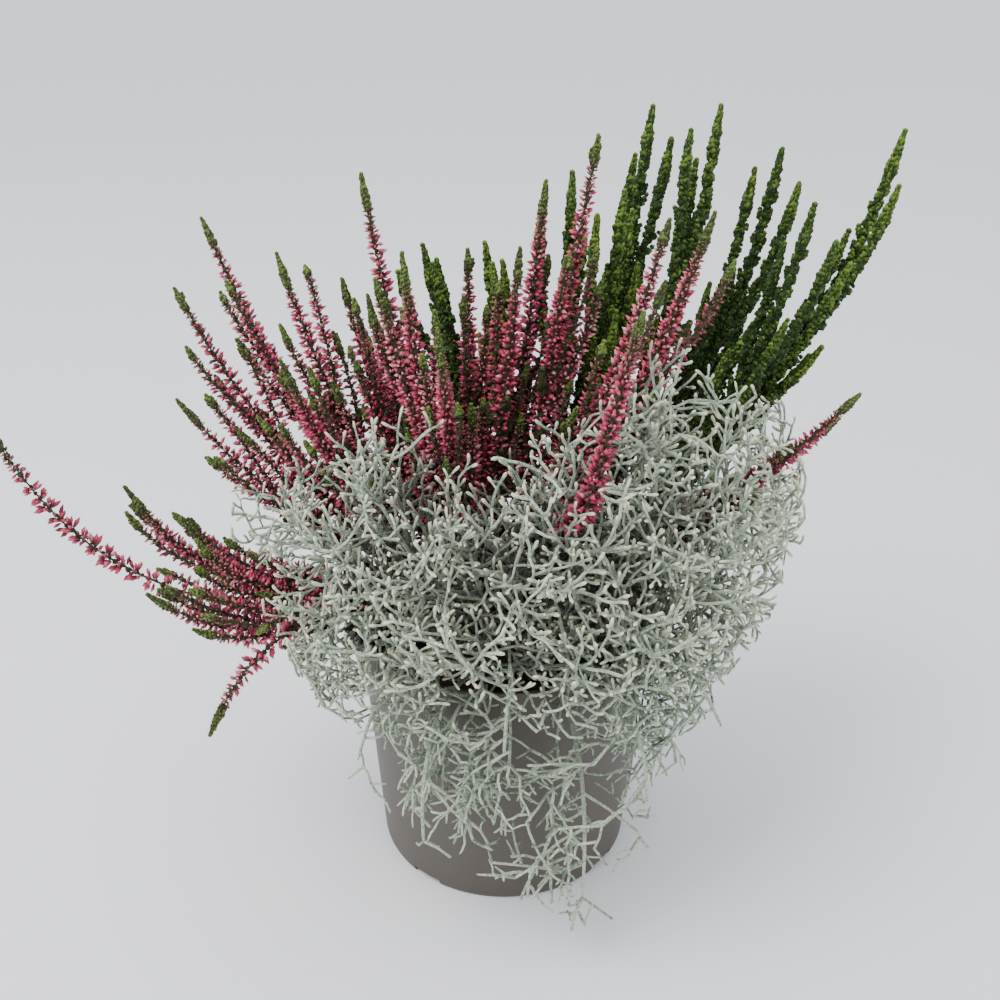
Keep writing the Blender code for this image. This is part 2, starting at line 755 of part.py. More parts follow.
def make_heather(group, number, kind, path, shoot):
    name = f"{kind}_heather_stem_{number:02d}"
    stem = linked(heather_stem(name, path, kind), group, kind)
    if shoot is not None:
        fused(stem, [side_shoot(f"{name}_shoot", shoot, kind)])


def make_silver(group, number, path, branches):
    """One silver stem with all its twigs, in one body."""
    linked(spray(f"silver_bush_stem_{number:02d}", path, branches), group, "silver")


def main():
    for obj in list(bpy.data.objects):
        bpy.data.objects.remove(obj)
    for kind in COLOURS:
        material(kind)
    group = bpy.data.collections.new("potted_heather")
    bpy.context.scene.collection.children.link(group)

    kinds, paths, rooms = laid_out()
    taken = Occupied()
    for owner, (path, room) in enumerate(zip(paths, rooms)):
        fine = resampled(path, np.linspace(0, 1, 3 * PATH_POINTS))
        fine_room = np.interp(np.linspace(0, 1, len(fine)), np.linspace(0, 1, len(room)), room)
        taken.take(fine, fine_room, owner)
    shoots = {
        owner: placed_shoot(taken, owner, paths[owner], kind)
        for owner, kind in enumerate(kinds)
        if kind in SHOOT_EVERY and owner % SHOOT_EVERY[kind] == 0
    }

    make_pot(group)
    make_soil(group, paths[:, 0, :2])
    rng = np.random.default_rng(SEED)
    numbers = {"pink": 0, "green": 0, "silver": 0}
    for owner, (kind, path) in enumerate(zip(kinds, paths)):
        numbers[kind] += 1
        if kind == "silver":
            make_silver(group, numbers[kind], path, grown_spray(rng, taken, owner, path))
        else:
            make_heather(group, numbers[kind], kind, path, shoots.get(owner))


main()
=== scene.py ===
"""The looks of a mixed heather planting: pink bud heather, green heather and silver cushion bush in a pot.

Metres, +Z up, in the frame of the solids. Each stem keeps the line that its solid has. The layout below is
worked out by the same rule and the same seed, and the fine leaves, buds and twigs are then set along it.
"""

import collections
import functools
import math

import bmesh
import bpy
import numpy as np
from bpy.props import FloatProperty, FloatVectorProperty, IntProperty, PointerProperty
from mathutils import Matrix, Vector, noise


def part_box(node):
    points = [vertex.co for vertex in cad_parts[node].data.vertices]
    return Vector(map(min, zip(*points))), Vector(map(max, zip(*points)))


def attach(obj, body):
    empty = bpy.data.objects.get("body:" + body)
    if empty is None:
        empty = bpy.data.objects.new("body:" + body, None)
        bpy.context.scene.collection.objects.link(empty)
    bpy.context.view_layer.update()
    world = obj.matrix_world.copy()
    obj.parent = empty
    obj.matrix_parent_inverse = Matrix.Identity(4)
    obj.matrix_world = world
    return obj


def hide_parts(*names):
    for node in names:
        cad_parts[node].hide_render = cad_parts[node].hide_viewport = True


bl_info = {
    "name": "Potted Heather",
    "version": (1, 0, 0),
    "blender": (4, 5, 0),
    "location": "View3D > Sidebar > Heather",
    "description": "Models a mixed heather planting in a plastic pot",
    "category": "Add Mesh",
}

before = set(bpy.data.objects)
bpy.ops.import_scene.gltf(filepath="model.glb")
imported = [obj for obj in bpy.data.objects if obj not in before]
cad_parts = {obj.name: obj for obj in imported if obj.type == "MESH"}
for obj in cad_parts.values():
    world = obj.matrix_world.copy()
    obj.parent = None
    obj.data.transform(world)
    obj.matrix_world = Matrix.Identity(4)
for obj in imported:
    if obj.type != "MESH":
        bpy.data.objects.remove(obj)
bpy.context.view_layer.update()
_, POT_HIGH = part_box("pot")

MM = 0.001
IMAGE_SIZE = 1000

# The pot, a turned plastic shell with a stepped rim and a foot ring that drains through notches.
RIM_RADIUS = POT_HIGH.x
POT_HEIGHT = POT_HIGH.z
FOOT_RADIUS = 54 * MM
WALL_TOP_RADIUS = 60.5 * MM
RIM_DEPTH = 13 * MM
WALL = 1.6 * MM
FOOT_HEIGHT = 3 * MM
FOOT_WIDTH = 7 * MM
FLOOR_TOP = 5 * MM
BOSS_RADIUS = 15 * MM
NOTCHES = 4
NOTCH_TURN = math.radians(52)
NOTCH_WIDTH = 14 * MM
DRAIN_RADIUS = 3.5 * MM
DRAIN_CIRCLE = 38 * MM

# The soil, filled to a little below the rim.
SOIL_TOP = 103 * MM
SOIL_GAP = 0.4 * MM
SOIL_RELIEF = 1.2 * MM
SOIL_RINGS = 34
SOIL_SIDES = 110
ROOT_DEPTH = 20 * MM

# Where each plant's root ball is in the pot, and how far its stems' feet spread towards their tips.
CROWNS = {"pink": (-14 * MM, 8 * MM), "green": (22 * MM, 27 * MM), "silver": (8 * MM, -24 * MM)}
FOOT_SPREAD = 0.16
FOOT_SPACING = 7 * MM
FOOT_CIRCLE = 48 * MM
FOOT_ROUNDS = 200

# How a stem gets from its foot to its tip: the two inner points of its curve, each as its share of the way
# out and its share of the climb. A climb under LEAST_CLIMB counts as that much.
HABITS = {
    "upright": ((0.28, 0.34), (0.80, 0.68)),
    "rising": ((0.33, 0.32), (0.80, 0.62)),
    "sweeping": ((0.36, 0.34), (0.94, 0.58)),
    "low": ((0.42, 0.17), (0.86, 0.12)),
    "arching": ((0.30, 0.55), (0.85, 0.62)),
    "hanging": ((0.50, 0.68), (1.15, 0.20)),
}
LEAST_CLIMB = 60 * MM

# Tips of the stems, in millimetres, and the habit of each.
STEMS = {
    "pink": (
        (-188, -28, 200, "low"), (-156, 8, 164, "low"), (-128, -12, 160, "low"),
        (-136, -42, 142, "low"), (-113, -62, 90, "arching"), (-135, 24, 196, "rising"),
        (-137, 48, 236, "rising"), (-126, 62, 262, "rising"), (-88, 10, 218, "rising"),
        (-92, 42, 252, "rising"), (-64, 26, 246, "rising"), (-53, 16, 288, "upright"),
        (-37, -6, 264, "upright"), (-24, -20, 240, "upright"), (-14, 24, 258, "upright"),
        (6, 2, 264, "upright"), (16, 24, 284, "upright"), (34, 8, 303, "upright"),
        (54, -44, 284, "rising"), (74, -14, 280, "rising"), (138, -2, 208, "rising"),
        (-60, 74, 226, "rising"), (-104, 84, 184, "rising"),
    ),
    "green": (
        (27, 44, 284, "upright"), (46, 26, 280, "upright"), (58, 50, 308, "upright"),
        (82, 36, 310, "sweeping"), (110, 50, 292, "sweeping"), (118, 22, 276, "sweeping"),
        (155, 42, 300, "sweeping"), (100, 74, 236, "sweeping"), (-8, 54, 254, "upright"),
        (-34, 58, 252, "rising"), (52, 88, 238, "rising"),
    ),
    "silver": (
        (30, -88, 34, "hanging"), (-30, -88, 62, "hanging"), (0, -100, 112, "arching"),
        (-54, -78, 92, "arching"), (-84, -46, 124, "arching"), (-76, -22, 160, "rising"),
        (-44, -50, 184, "rising"), (-12, -68, 174, "rising"), (22, -58, 190, "upright"),
        (46, -84, 150, "rising"), (54, -32, 206, "rising"), (84, -24, 196, "rising"),
        (78, -62, 166, "rising"), (110, 6, 168, "rising"), (106, -34, 132, "arching"),
        (80, -74, 104, "arching"), (52, -90, 78, "hanging"), (84, 60, 146, "arching"),
    ),
}

# How far flowers and leafy shoots stand out of their slim stems.
REACH = {"pink": 4.8 * MM, "green": 4.6 * MM}
TIP_REACH = 2.6 * MM
BARE_SHARE = 0.24
TAPER_SHARE = 0.74

# How many points a stem's line and a side line are smoothed at, and how many rings their tubes have.
STEM_POINTS = 90
SIDE_POINTS = 40
STEM_RINGS = 50
SIDE_RINGS = 14

# The dark old shoots low on each heather stem: their places on it, their length, and how far out they grow.
OLD_PLACES = (0.05, 0.6, 13)
OLD_LENGTH = 12 * MM
OLD_LEAN = math.radians(42)
OLD_CIRCLE = 88 * MM

# The heathers' long side shoots, which leave their stem and run up beside it.
SHOOT_PLACE = {"pink": 0.38, "green": 0.46}
SHOOT_EVERY = {"pink": 2, "green": 1}
SHOOT_LENGTH = 38 * MM
SHOOT_OFFSET = 10 * MM
SHOOT_REACH = 3.6 * MM
SHOOT_POINTS = 9

# The heathers' finer side spikes. One arches out through the silver bush and stands in front of it, and the
# long stem at the left has none.
SPIKES = {"pink": 6, "green": 5}
SPIKE_LENGTH = {"pink": 58 * MM, "green": 84 * MM}
SPIKE_PLACES = (0.18, 0.56)
SPIKE_OFFSET = (6.5 * MM, 13 * MM)
SPIKE_ROOM = 5.0 * MM
SPIKE_POINTS = 12
CROWD_POINTS = 90
FRONT_STEM = "pink_heather_stem_19"
FRONT_SPIKE = (
    (10, -20, 150), (20, -48, 170), (28, -64, 187), (32, -67, 204), (36, -65, 222), (41, -59, 240),
    (46, -54, 256),
)
LONG_STEM = "pink_heather_stem_01"

# The silver bush's main branching, in even steps turned by the golden angle. Each branch ends in a fork. A
# main twig tries this many turns before it is left out, and a fine one this many ways.
SILVER_RADIUS = 1.3 * MM
TWIG_RADIUS = 1.1 * MM
BRANCHES = 6
FIRST_BRANCH = 0.26
BRANCH_LENGTH = 22 * MM
BRANCH_ANGLE = math.radians(58)
TWIG_LENGTH = 15 * MM
TWIG_ANGLE = math.radians(42)
TWIGS = 3
TURNS_TRIED = 10
WAYS_TRIED = 5
GOLDEN_ANGLE = math.radians(137.5)

# The silver bush's outline: how far its cushion reaches from its middle at each height, in millimetres, and
# the strip down the pot's front where its lowest twigs hang.
CUSHION_MIDDLE = (5 * MM, 0)
CUSHION_OUTLINE = ((92, 92), (110, 97), (132, 106), (165, 114), (195, 112), (235, 70))
HANGING_MIDDLE = 12 * MM
HANGING_HALF = 46 * MM
HANGING_FRONT = -40 * MM
HANGING_REACH = 100 * MM

# The fringe of fine twigs down the pot's front: height, middle, half width and reach from the pot's axis, in
# millimetres.
FRINGE_TOP = 92 * MM
FRINGE = ((16, 32, 4, 92), (40, 24, 14, 96), (64, 12, 44, 100), (92, 6, 72, 102))
FRINGE_FRONT = -25 * MM

# How strongly the twigs of each habit rise, and those that root low in the bush hang.
LIFT = {"hanging": -0.05, "arching": 0.08, "rising": 0.14, "upright": 0.14}
DROOP = -0.16
DROOP_BELOW = 106 * MM

# The egg that the bush fills. Its twigs are dark near the heart, partly as older wood and partly as painted
# shade, and pale at the surface.
BUSH_HEART = (5 * MM, 0, 140 * MM)
BUSH_SIZE = (114 * MM, 112 * MM, 96 * MM)

# The strip kept free of silver twigs before the front spike: the way towards the viewer, and how far along it
# in millimetres.
OPEN_WAY = (0, -0.75, 0.65)
OPEN_STEPS = range(2, 26)

# Room kept between stems, from the pot to the main and to the fine twigs, and the thickness that a bare stem
# counts as when stems are bent apart.
CLEARANCE = 0.7 * MM
POT_GAP = 3 * MM
FINE_GAP = 1.6 * MM
BARE_ROOM = 2.6 * MM
RIM_SPACE = 10.5 * MM
RIM_RING = (62 * MM, 105 * MM)
PATH_POINTS = 34
BEND_ROUNDS = 90
SEED = 7

# The stage.
FLOOR_SIZE = 40
SKY_COLOUR = (0.93, 0.95, 1.0, 1)
KEY_PLACE = (-0.7, -0.5, 1.5)
KEY_TARGET = (0, 0, 0.1)
KEY_SIZE = 0.9
KEY_COLOUR = (1.0, 0.98, 0.95)
SENSOR_WIDTH = 36


# The layout of the stems

def unit(vector):
    return vector / np.linalg.norm(vector)


def norms(vectors):
    """The length of each of many vectors."""
    return np.linalg.norm(vectors, axis=-1)


def units(vectors):
    """Vectors in rows, each brought to unit length."""
    return vectors / np.linalg.norm(vectors, axis=-1, keepdims=True)


def spread_feet(feet):
    """Feet that crowd each other step apart, and all stay in the soil."""
    feet = np.array(feet)
    for _ in range(FOOT_ROUNDS):
        apart = feet[:, None] - feet[None]
        distance = norms(apart) + np.eye(len(feet))
        short = np.clip(FOOT_SPACING - distance, 0, None) * (1 - np.eye(len(feet)))
        feet = feet + (apart / distance[..., None] * short[..., None]).sum(1) * 0.4
        feet = feet * np.minimum(1, FOOT_CIRCLE / norms(feet))[:, None]
    return feet


def resampled(path, shares):
    """Points at the given shares of a path's length."""
    along = np.concatenate([[0], np.cumsum(norms(np.diff(path, axis=0)))])
    return np.stack([np.interp(shares * along[-1], along, path[:, k]) for k in range(3)], 1)


def evenly(path, count):
    """A number of points all along a path, evenly spaced."""
    return resampled(path, np.linspace(0, 1, count))


def length_of(path):
    return float(norms(np.diff(path, axis=0)).sum())


def stem_path(foot, tip, habit):
    """Points from a stem's foot at the top of the soil to its tip, evenly spaced."""
    start = np.array((*foot, SOIL_TOP))
    out = np.array((tip[0] - foot[0], tip[1] - foot[1], 0.0))
    climb = np.array((0.0, 0.0, max(tip[2] - SOIL_TOP, LEAST_CLIMB)))
    (out_a, climb_a), (out_b, climb_b) = HABITS[habit]
    inner_a = start + out * out_a + climb * climb_a
    inner_b = start + out * out_b + climb * climb_b
    t = np.linspace(0, 1, 200)[:, None]
    fine = (
        (1 - t) ** 3 * start
        + 3 * (1 - t) ** 2 * t * inner_a
        + 3 * (1 - t) * t**2 * inner_b
        + t**3 * np.array(tip)
    )
    return evenly(fine, PATH_POINTS)


def room_along(kind, shares):
    """How far a stem's leaves or flowers reach from its middle, along its length."""
    if kind == "silver":
        return np.full(len(shares), BARE_ROOM)
    reach = np.interp(shares, (TAPER_SHARE, 1), (REACH[kind], TIP_REACH))
    return np.where(shares < BARE_SHARE, BARE_ROOM, reach)


def rolled_over_rim(points, room):
    """Points too near the pot's rim move out from it, over the top or outside."""
    middle_radius, middle_height = RIM_RING
    around = norms(points[..., :2])
    outward = points[..., :2] / np.maximum(around, 1e-6)[..., None]
    across = np.stack([around - middle_radius, points[..., 2] - middle_height], -1)
    distance = np.maximum(norms(across), 1e-6)
    short = np.clip(RIM_SPACE + room - distance, 0, None)
    move = across / distance[..., None] * short[..., None]
    moved = points.copy()
    moved[..., :2] += outward * move[..., :1]
    moved[..., 2] += move[..., 1]
    return moved


def pushes(points, wanted_square, wanted):
    """How far each point has to move away from the points that are too near it."""
    square = (points**2).sum(1)
    apart_square = square[:, None] + square[None] - 2 * points @ points.T
    first, second = np.nonzero(apart_square < wanted_square)
    apart = points[first] - points[second]
    distance = norms(apart) + 1e-9
    short = np.clip(wanted[first, second] - distance, 0, None)
    moves = apart * (short / distance)[:, None]
    return np.stack([np.bincount(first, moves[:, k], len(points)) for k in range(3)], 1)


def bent_clear(paths, rooms):
    """Stems that pass too close are bent apart a little at a time, and stay smooth."""
    stems, count = paths.shape[:2]
    owner = np.repeat(np.arange(stems), count)
    room = rooms.reshape(-1)
    wanted = (room[:, None] + room[None] + CLEARANCE) * (owner[:, None] != owner[None])
    wanted_square = wanted**2
    freedom = np.clip(np.linspace(0, 4, count), 0, 1)[None, :, None]
    for _ in range(BEND_ROUNDS):
        push = pushes(paths.reshape(-1, 3), wanted_square, wanted).reshape(stems, count, 3)
        for _ in range(3):
            push[:, 1:-1] = (push[:, :-2] + 2 * push[:, 1:-1] + push[:, 2:]) / 4
        paths = paths + push * freedom * 0.22
        paths = np.where(freedom > 0.3, rolled_over_rim(paths, rooms), paths)
        paths[:, 2:-1] += (paths[:, 1:-2] + paths[:, 3:] - 2 * paths[:, 2:-1]) * 0.12
    return paths


def laid_out():
    """The kind of every stem, its path and the room that it needs along it."""
    kinds, tips, habits, feet = [], [], [], []
    for kind, stems in STEMS.items():
        crown = np.array(CROWNS[kind])
        for *tip, habit in stems:
            tip = np.array(tip, float) * MM
            kinds.append(kind)
            tips.append(tip)
            habits.append(habit)
            feet.append(crown + FOOT_SPREAD * (tip[:2] - crown))
    feet = spread_feet(feet)
    paths = np.array([stem_path(*stem) for stem in zip(feet, tips, habits)])
    shares = np.linspace(0, 1, PATH_POINTS)
    rooms = np.array([room_along(kind, shares) for kind in kinds])
    return kinds, bent_clear(paths, rooms), rooms


class Occupied:
    """The space already taken, as balls along every stem and twig, each with its owner."""

    def __init__(self):
        self.points = np.zeros((0, 3))
        self.rooms = np.zeros(0)
        self.owners = np.zeros(0, int)

    def take(self, points, rooms, owner):
        self.points = np.concatenate([self.points, points])
        self.rooms = np.concatenate([self.rooms, np.broadcast_to(rooms, len(points))])
        self.owners = np.concatenate([self.owners, np.full(len(points), owner)])

    def free(self, points, room, owner, root, near=7 * MM):
        """True where a twig touches no other stem, nor its own away from its root, nor the pot."""
        apart = norms(points[:, None] - self.points[None])
        near_root = norms(self.points - root) < near
        own = self.owners == owner
        wanted = self.rooms + room + np.where(own, 1.0 * MM, CLEARANCE)
        wanted = np.where(own & near_root, 0, wanted)
        around = norms(points[:, :2])
        over = points[:, 2] > POT_HEIGHT + POT_GAP
        outside = around > RIM_RADIUS + POT_GAP
        inside = (around < WALL_TOP_RADIUS - 7 * MM) & (points[:, 2] > SOIL_TOP + 4 * MM)
        clear_of_pot = (over | outside | inside) & (points[:, 2] > 8 * MM)
        return bool((apart > wanted).all() and clear_of_pot.all())


def inside_cushion(points):
    """True where a silver twig stays in the bush's outline."""
    around = norms(points[:, :2] - CUSHION_MIDDLE)
    heights, reaches = np.array(CUSHION_OUTLINE).T * MM
    above = (points[:, 2] > heights[0]) & (around < np.interp(points[:, 2], heights, reaches))
    aside = np.abs(points[:, 0] - HANGING_MIDDLE)
    front = (aside < HANGING_HALF) & (points[:, 1] < HANGING_FRONT) & (around < HANGING_REACH)
    return bool((above | front & (points[:, 2] <= heights[0])).all())


def straight(start, end):
    """Points along a straight twig, close enough together to find what crosses it."""
    count = max(3, int(np.linalg.norm(end - start) / (2 * MM)))
    return start + (end - start) * np.linspace(0, 1, count)[:, None]


def sideways(direction, turn):
    """A unit vector square to a direction, turned about it."""
    flat = np.cross(direction, (0, 0, 1))
    if np.linalg.norm(flat) < 0.1:
        flat = np.cross(direction, (1, 0, 0))
    flat = unit(flat)
    return flat * math.cos(turn) + np.cross(direction, flat) * math.sin(turn)


def leant(heading, lean, turn):
    """A direction that leans from a heading, to the side that a turn about the heading gives."""
    return heading * math.cos(lean) + sideways(heading, turn) * math.sin(lean)


def beside(main, turn, offset):
    """A line that leaves a stretch of stem on one side, and runs up beside it."""
    aside = sideways(unit(main[-1] - main[0]), turn)
    swing = np.sin(np.linspace(0, math.pi / 2, len(main))) * offset
    return main + aside * swing[:, None]


def placed_shoot(taken, owner, path, kind):
    """The side shoot of a heather stem on the first side that has room for it, in a list, or no shoot."""
    shares = SHOOT_PLACE[kind] + np.linspace(0, SHOOT_LENGTH / length_of(path), SHOOT_POINTS)
    main = resampled(path, np.clip(shares, 0, 1))
    for attempt in range(TURNS_TRIED):
        found = beside(main, GOLDEN_ANGLE * owner + math.tau * attempt / TURNS_TRIED, SHOOT_OFFSET)
        if taken.free(found[2:], SHOOT_REACH, owner, found[2], 1):
            taken.take(found[2:], SHOOT_REACH, owner)
            return [found]
    return []


def twig(rng, taken, owner, root, heading, angle, length, first_turn):
    """The end of a straight twig that leaves its root at an angle, on the first side with room, or None."""
    for attempt in range(TURNS_TRIED):
        turn = first_turn + math.tau * attempt / TURNS_TRIED
        way = unit(leant(heading, angle * rng.uniform(0.8, 1.2), turn))
        end = root + way * length * rng.uniform(0.8, 1.2)
        points = straight(root + (end - root) * 0.25, end)
        if inside_cushion(points) and taken.free(points, TWIG_RADIUS, owner, root):
            taken.take(points, TWIG_RADIUS, owner)
            return end
    return None


def fork(rng, taken, owner, root, heading, turn):
    """The ends of the twigs that part at a branch's end."""
    ends = []
    for side in range(TWIGS):
        lean_turn = turn + math.tau * side / TWIGS
        found = twig(rng, taken, owner, root, heading, TWIG_ANGLE, TWIG_LENGTH, lean_turn)
        if found is not None:
            ends.append(found)
    return ends


def grown_spray(rng, taken, owner, path):
    """The branches of one silver stem, each as its place on the stem, its end and the ends of its fork."""
    branches = []
    for number in range(BRANCHES):
        place = FIRST_BRANCH + (0.97 - FIRST_BRANCH) * number / BRANCHES
        low, root, high = resampled(path, np.array([place - 0.04, place, place + 0.04]))
        turn = GOLDEN_ANGLE * number + owner
        heading = unit(high - low)
        end = twig(rng, taken, owner, root, heading, BRANCH_ANGLE, BRANCH_LENGTH, turn)
        if end is not None:
            ends = fork(rng, taken, owner, end, unit(end - root), turn)
            branches.append((place, end, ends))
    heading = unit(path[-1] - path[-3])
    ends = fork(rng, taken, owner, path[-1], heading, owner)
    branches.append((1, path[-1], ends))
    return branches


@functools.cache
def planting():
    """Every stem in the solids' order: its node's name, kind, path, and its side shoots or its branches."""
    kinds, paths, rooms = laid_out()
    taken = Occupied()
    for owner, (path, room) in enumerate(zip(paths, rooms)):
        fine = evenly(path, 3 * PATH_POINTS)
        fine_room = np.interp(np.linspace(0, 1, len(fine)), np.linspace(0, 1, len(room)), room)
        taken.take(fine, fine_room, owner)
    shoots = {
        owner: placed_shoot(taken, owner, paths[owner], kind)
        for owner, kind in enumerate(kinds)
        if kind in SHOOT_EVERY and owner % SHOOT_EVERY[kind] == 0
    }
    rng = np.random.default_rng(SEED)
    titles = {"pink": "pink_heather", "green": "green_heather", "silver": "silver_bush"}
    stems = []
    for owner, (kind, path) in enumerate(zip(kinds, paths)):
        name = f"{titles[kind]}_stem_{kinds[: owner + 1].count(kind):02d}"
        more = grown_spray(rng, taken, owner, path) if kind == "silver" else shoots.get(owner, [])
        stems.append((name, kind, path, more))
    return stems


@functools.cache
def side_spikes():
    """The finer side spikes of each heather stem, which run up beside it where nothing else stands."""
    stems = planting()
    crowd = np.concatenate([evenly(path, CROWD_POINTS) for _, _, path, _ in stems])
    rng = np.random.default_rng(SEED + 1)
    spikes = {}
    for name, kind, path, shoots in stems:
        if kind == "silver":
            continue
        spikes[name] = [evenly(np.array(FRONT_SPIKE) * MM, SPIKE_POINTS)] if name == FRONT_STEM else []
        crowd = np.concatenate([crowd, *shoots, *spikes[name]])
        for place in () if name == LONG_STEM else np.linspace(*SPIKE_PLACES, SPIKES[kind]):
            last = min(place + rng.uniform(0.75, 1.25) * SPIKE_LENGTH[kind] / length_of(path), 0.95)
            main = resampled(path, np.linspace(place, last, SPIKE_POINTS))
            for _ in range(TURNS_TRIED):
                found = beside(main, rng.uniform(0, math.tau), rng.uniform(*SPIKE_OFFSET))
                away = norms(found[6:, None] - crowd[None]).min()
                if away > SPIKE_ROOM and (found[3:, 2] > POT_HEIGHT + 4 * MM).all():
                    spikes[name].append(found)
                    crowd = np.concatenate([crowd, found[4:]])
                    break
    return spikes


# Shapes that are modelled once

def deselected():
    """Ends any selection, so that the next operator acts on its own object alone."""
    if bpy.context.object and bpy.context.object.mode != "OBJECT":
        bpy.ops.object.mode_set(mode="OBJECT")
    bpy.ops.object.select_all(action="DESELECT")


def pick(obj, corners):
    """Selects only these corners of the object in edit mode."""
    bm = bmesh.from_edit_mesh(obj.data)
    bm.verts.ensure_lookup_table()
    bm.select_mode = {"VERT"}
    for part in (*bm.faces, *bm.edges, *bm.verts):
        part.select = False
    for corner in corners:
        bm.verts[corner].select = True
    bm.select_flush_mode()
    bmesh.update_edit_mesh(obj.data)


# The corners and faces of a small shape, one unit long, that grows along +Z.
Shape = collections.namedtuple("Shape", "corners faces")


def taken_apart(obj):
    """Reads a modelled object into a shape, and removes the object."""
    corners = np.array([vertex.co for vertex in obj.data.vertices])
    faces = [list(polygon.vertices) for polygon in obj.data.polygons]
    mesh = obj.data
    bpy.data.objects.remove(obj)
    bpy.data.meshes.remove(mesh)
    return Shape(corners, faces)


def drawn_ball(segments, levels, turn=0):
    """A ball whose rings are set in edit mode to each level's height, width, depth and lean, base first."""
    deselected()
    rings = len(levels) - 1
    bpy.ops.mesh.primitive_uv_sphere_add(
        segments=segments, ring_count=rings, radius=1, location=(0, 0, 0), rotation=(0, 0, turn)
    )
    bpy.ops.object.transform_apply(location=False, rotation=True, scale=False)
    obj = bpy.context.object
    heights = [-math.cos(math.pi * ring / rings) for ring in range(rings + 1)]
    groups = [
        [vertex.index for vertex in obj.data.vertices if abs(vertex.co.z - height) < 0.01]
        for height in heights
    ]
    bpy.ops.object.mode_set(mode="EDIT")
    for height, group, (new_height, width, depth, lean) in zip(heights, groups, levels):
        pick(obj, group)
        old_width = math.sqrt(max(1 - height * height, 1e-9))
        if len(group) > 1:
            ratio = (width / old_width, depth / old_width, 1)
            bpy.ops.transform.resize(value=ratio, center_override=(0, 0, height))
        bpy.ops.transform.translate(value=(0, lean, new_height - height))
    bpy.ops.object.mode_set(mode="OBJECT")
    return taken_apart(obj)


def bud_shape():
    """A closed flower bud: slim at its root, fullest beyond its middle, and drawn out to a point."""
    rings = (0, 0, 0, 0), (0.28, 0.18, 0.18, 0), (0.62, 0.27, 0.27, 0), (1, 0, 0, 0)
    return drawn_ball(3, rings)


def leaf_shape():
    """A scale leaf: a narrow blade with its keel outside, that leans in towards its stem at the tip."""
    rings = (0, 0, 0, 0), (0.36, 0.165, 0.13, -0.04), (1, 0, 0, 0.03)
    return drawn_ball(3, rings, -math.pi / 2)


def crumb_shape():
    """A crumb of soil, with its corners pushed about."""
    deselected()
    bpy.ops.mesh.primitive_ico_sphere_add(subdivisions=1, radius=1, location=(0, 0, 0))
    obj = bpy.context.object
    bpy.ops.object.mode_set(mode="EDIT")
    bpy.ops.mesh.select_all(action="SELECT")
    bpy.ops.transform.vertex_random(offset=0.28, seed=4)
    bpy.ops.object.mode_set(mode="OBJECT")
    return taken_apart(obj)


# Gathering a piece's mesh

# The places of a piece's finishes in its list of materials.
WOOD, BUD, LEAF = range(3)


def leaning(ways, outward, angles):
    """Directions that lean by these angles from their ways on to their ways outward."""
    return ways * np.cos(angles)[..., None] + outward * np.sin(angles)[..., None]


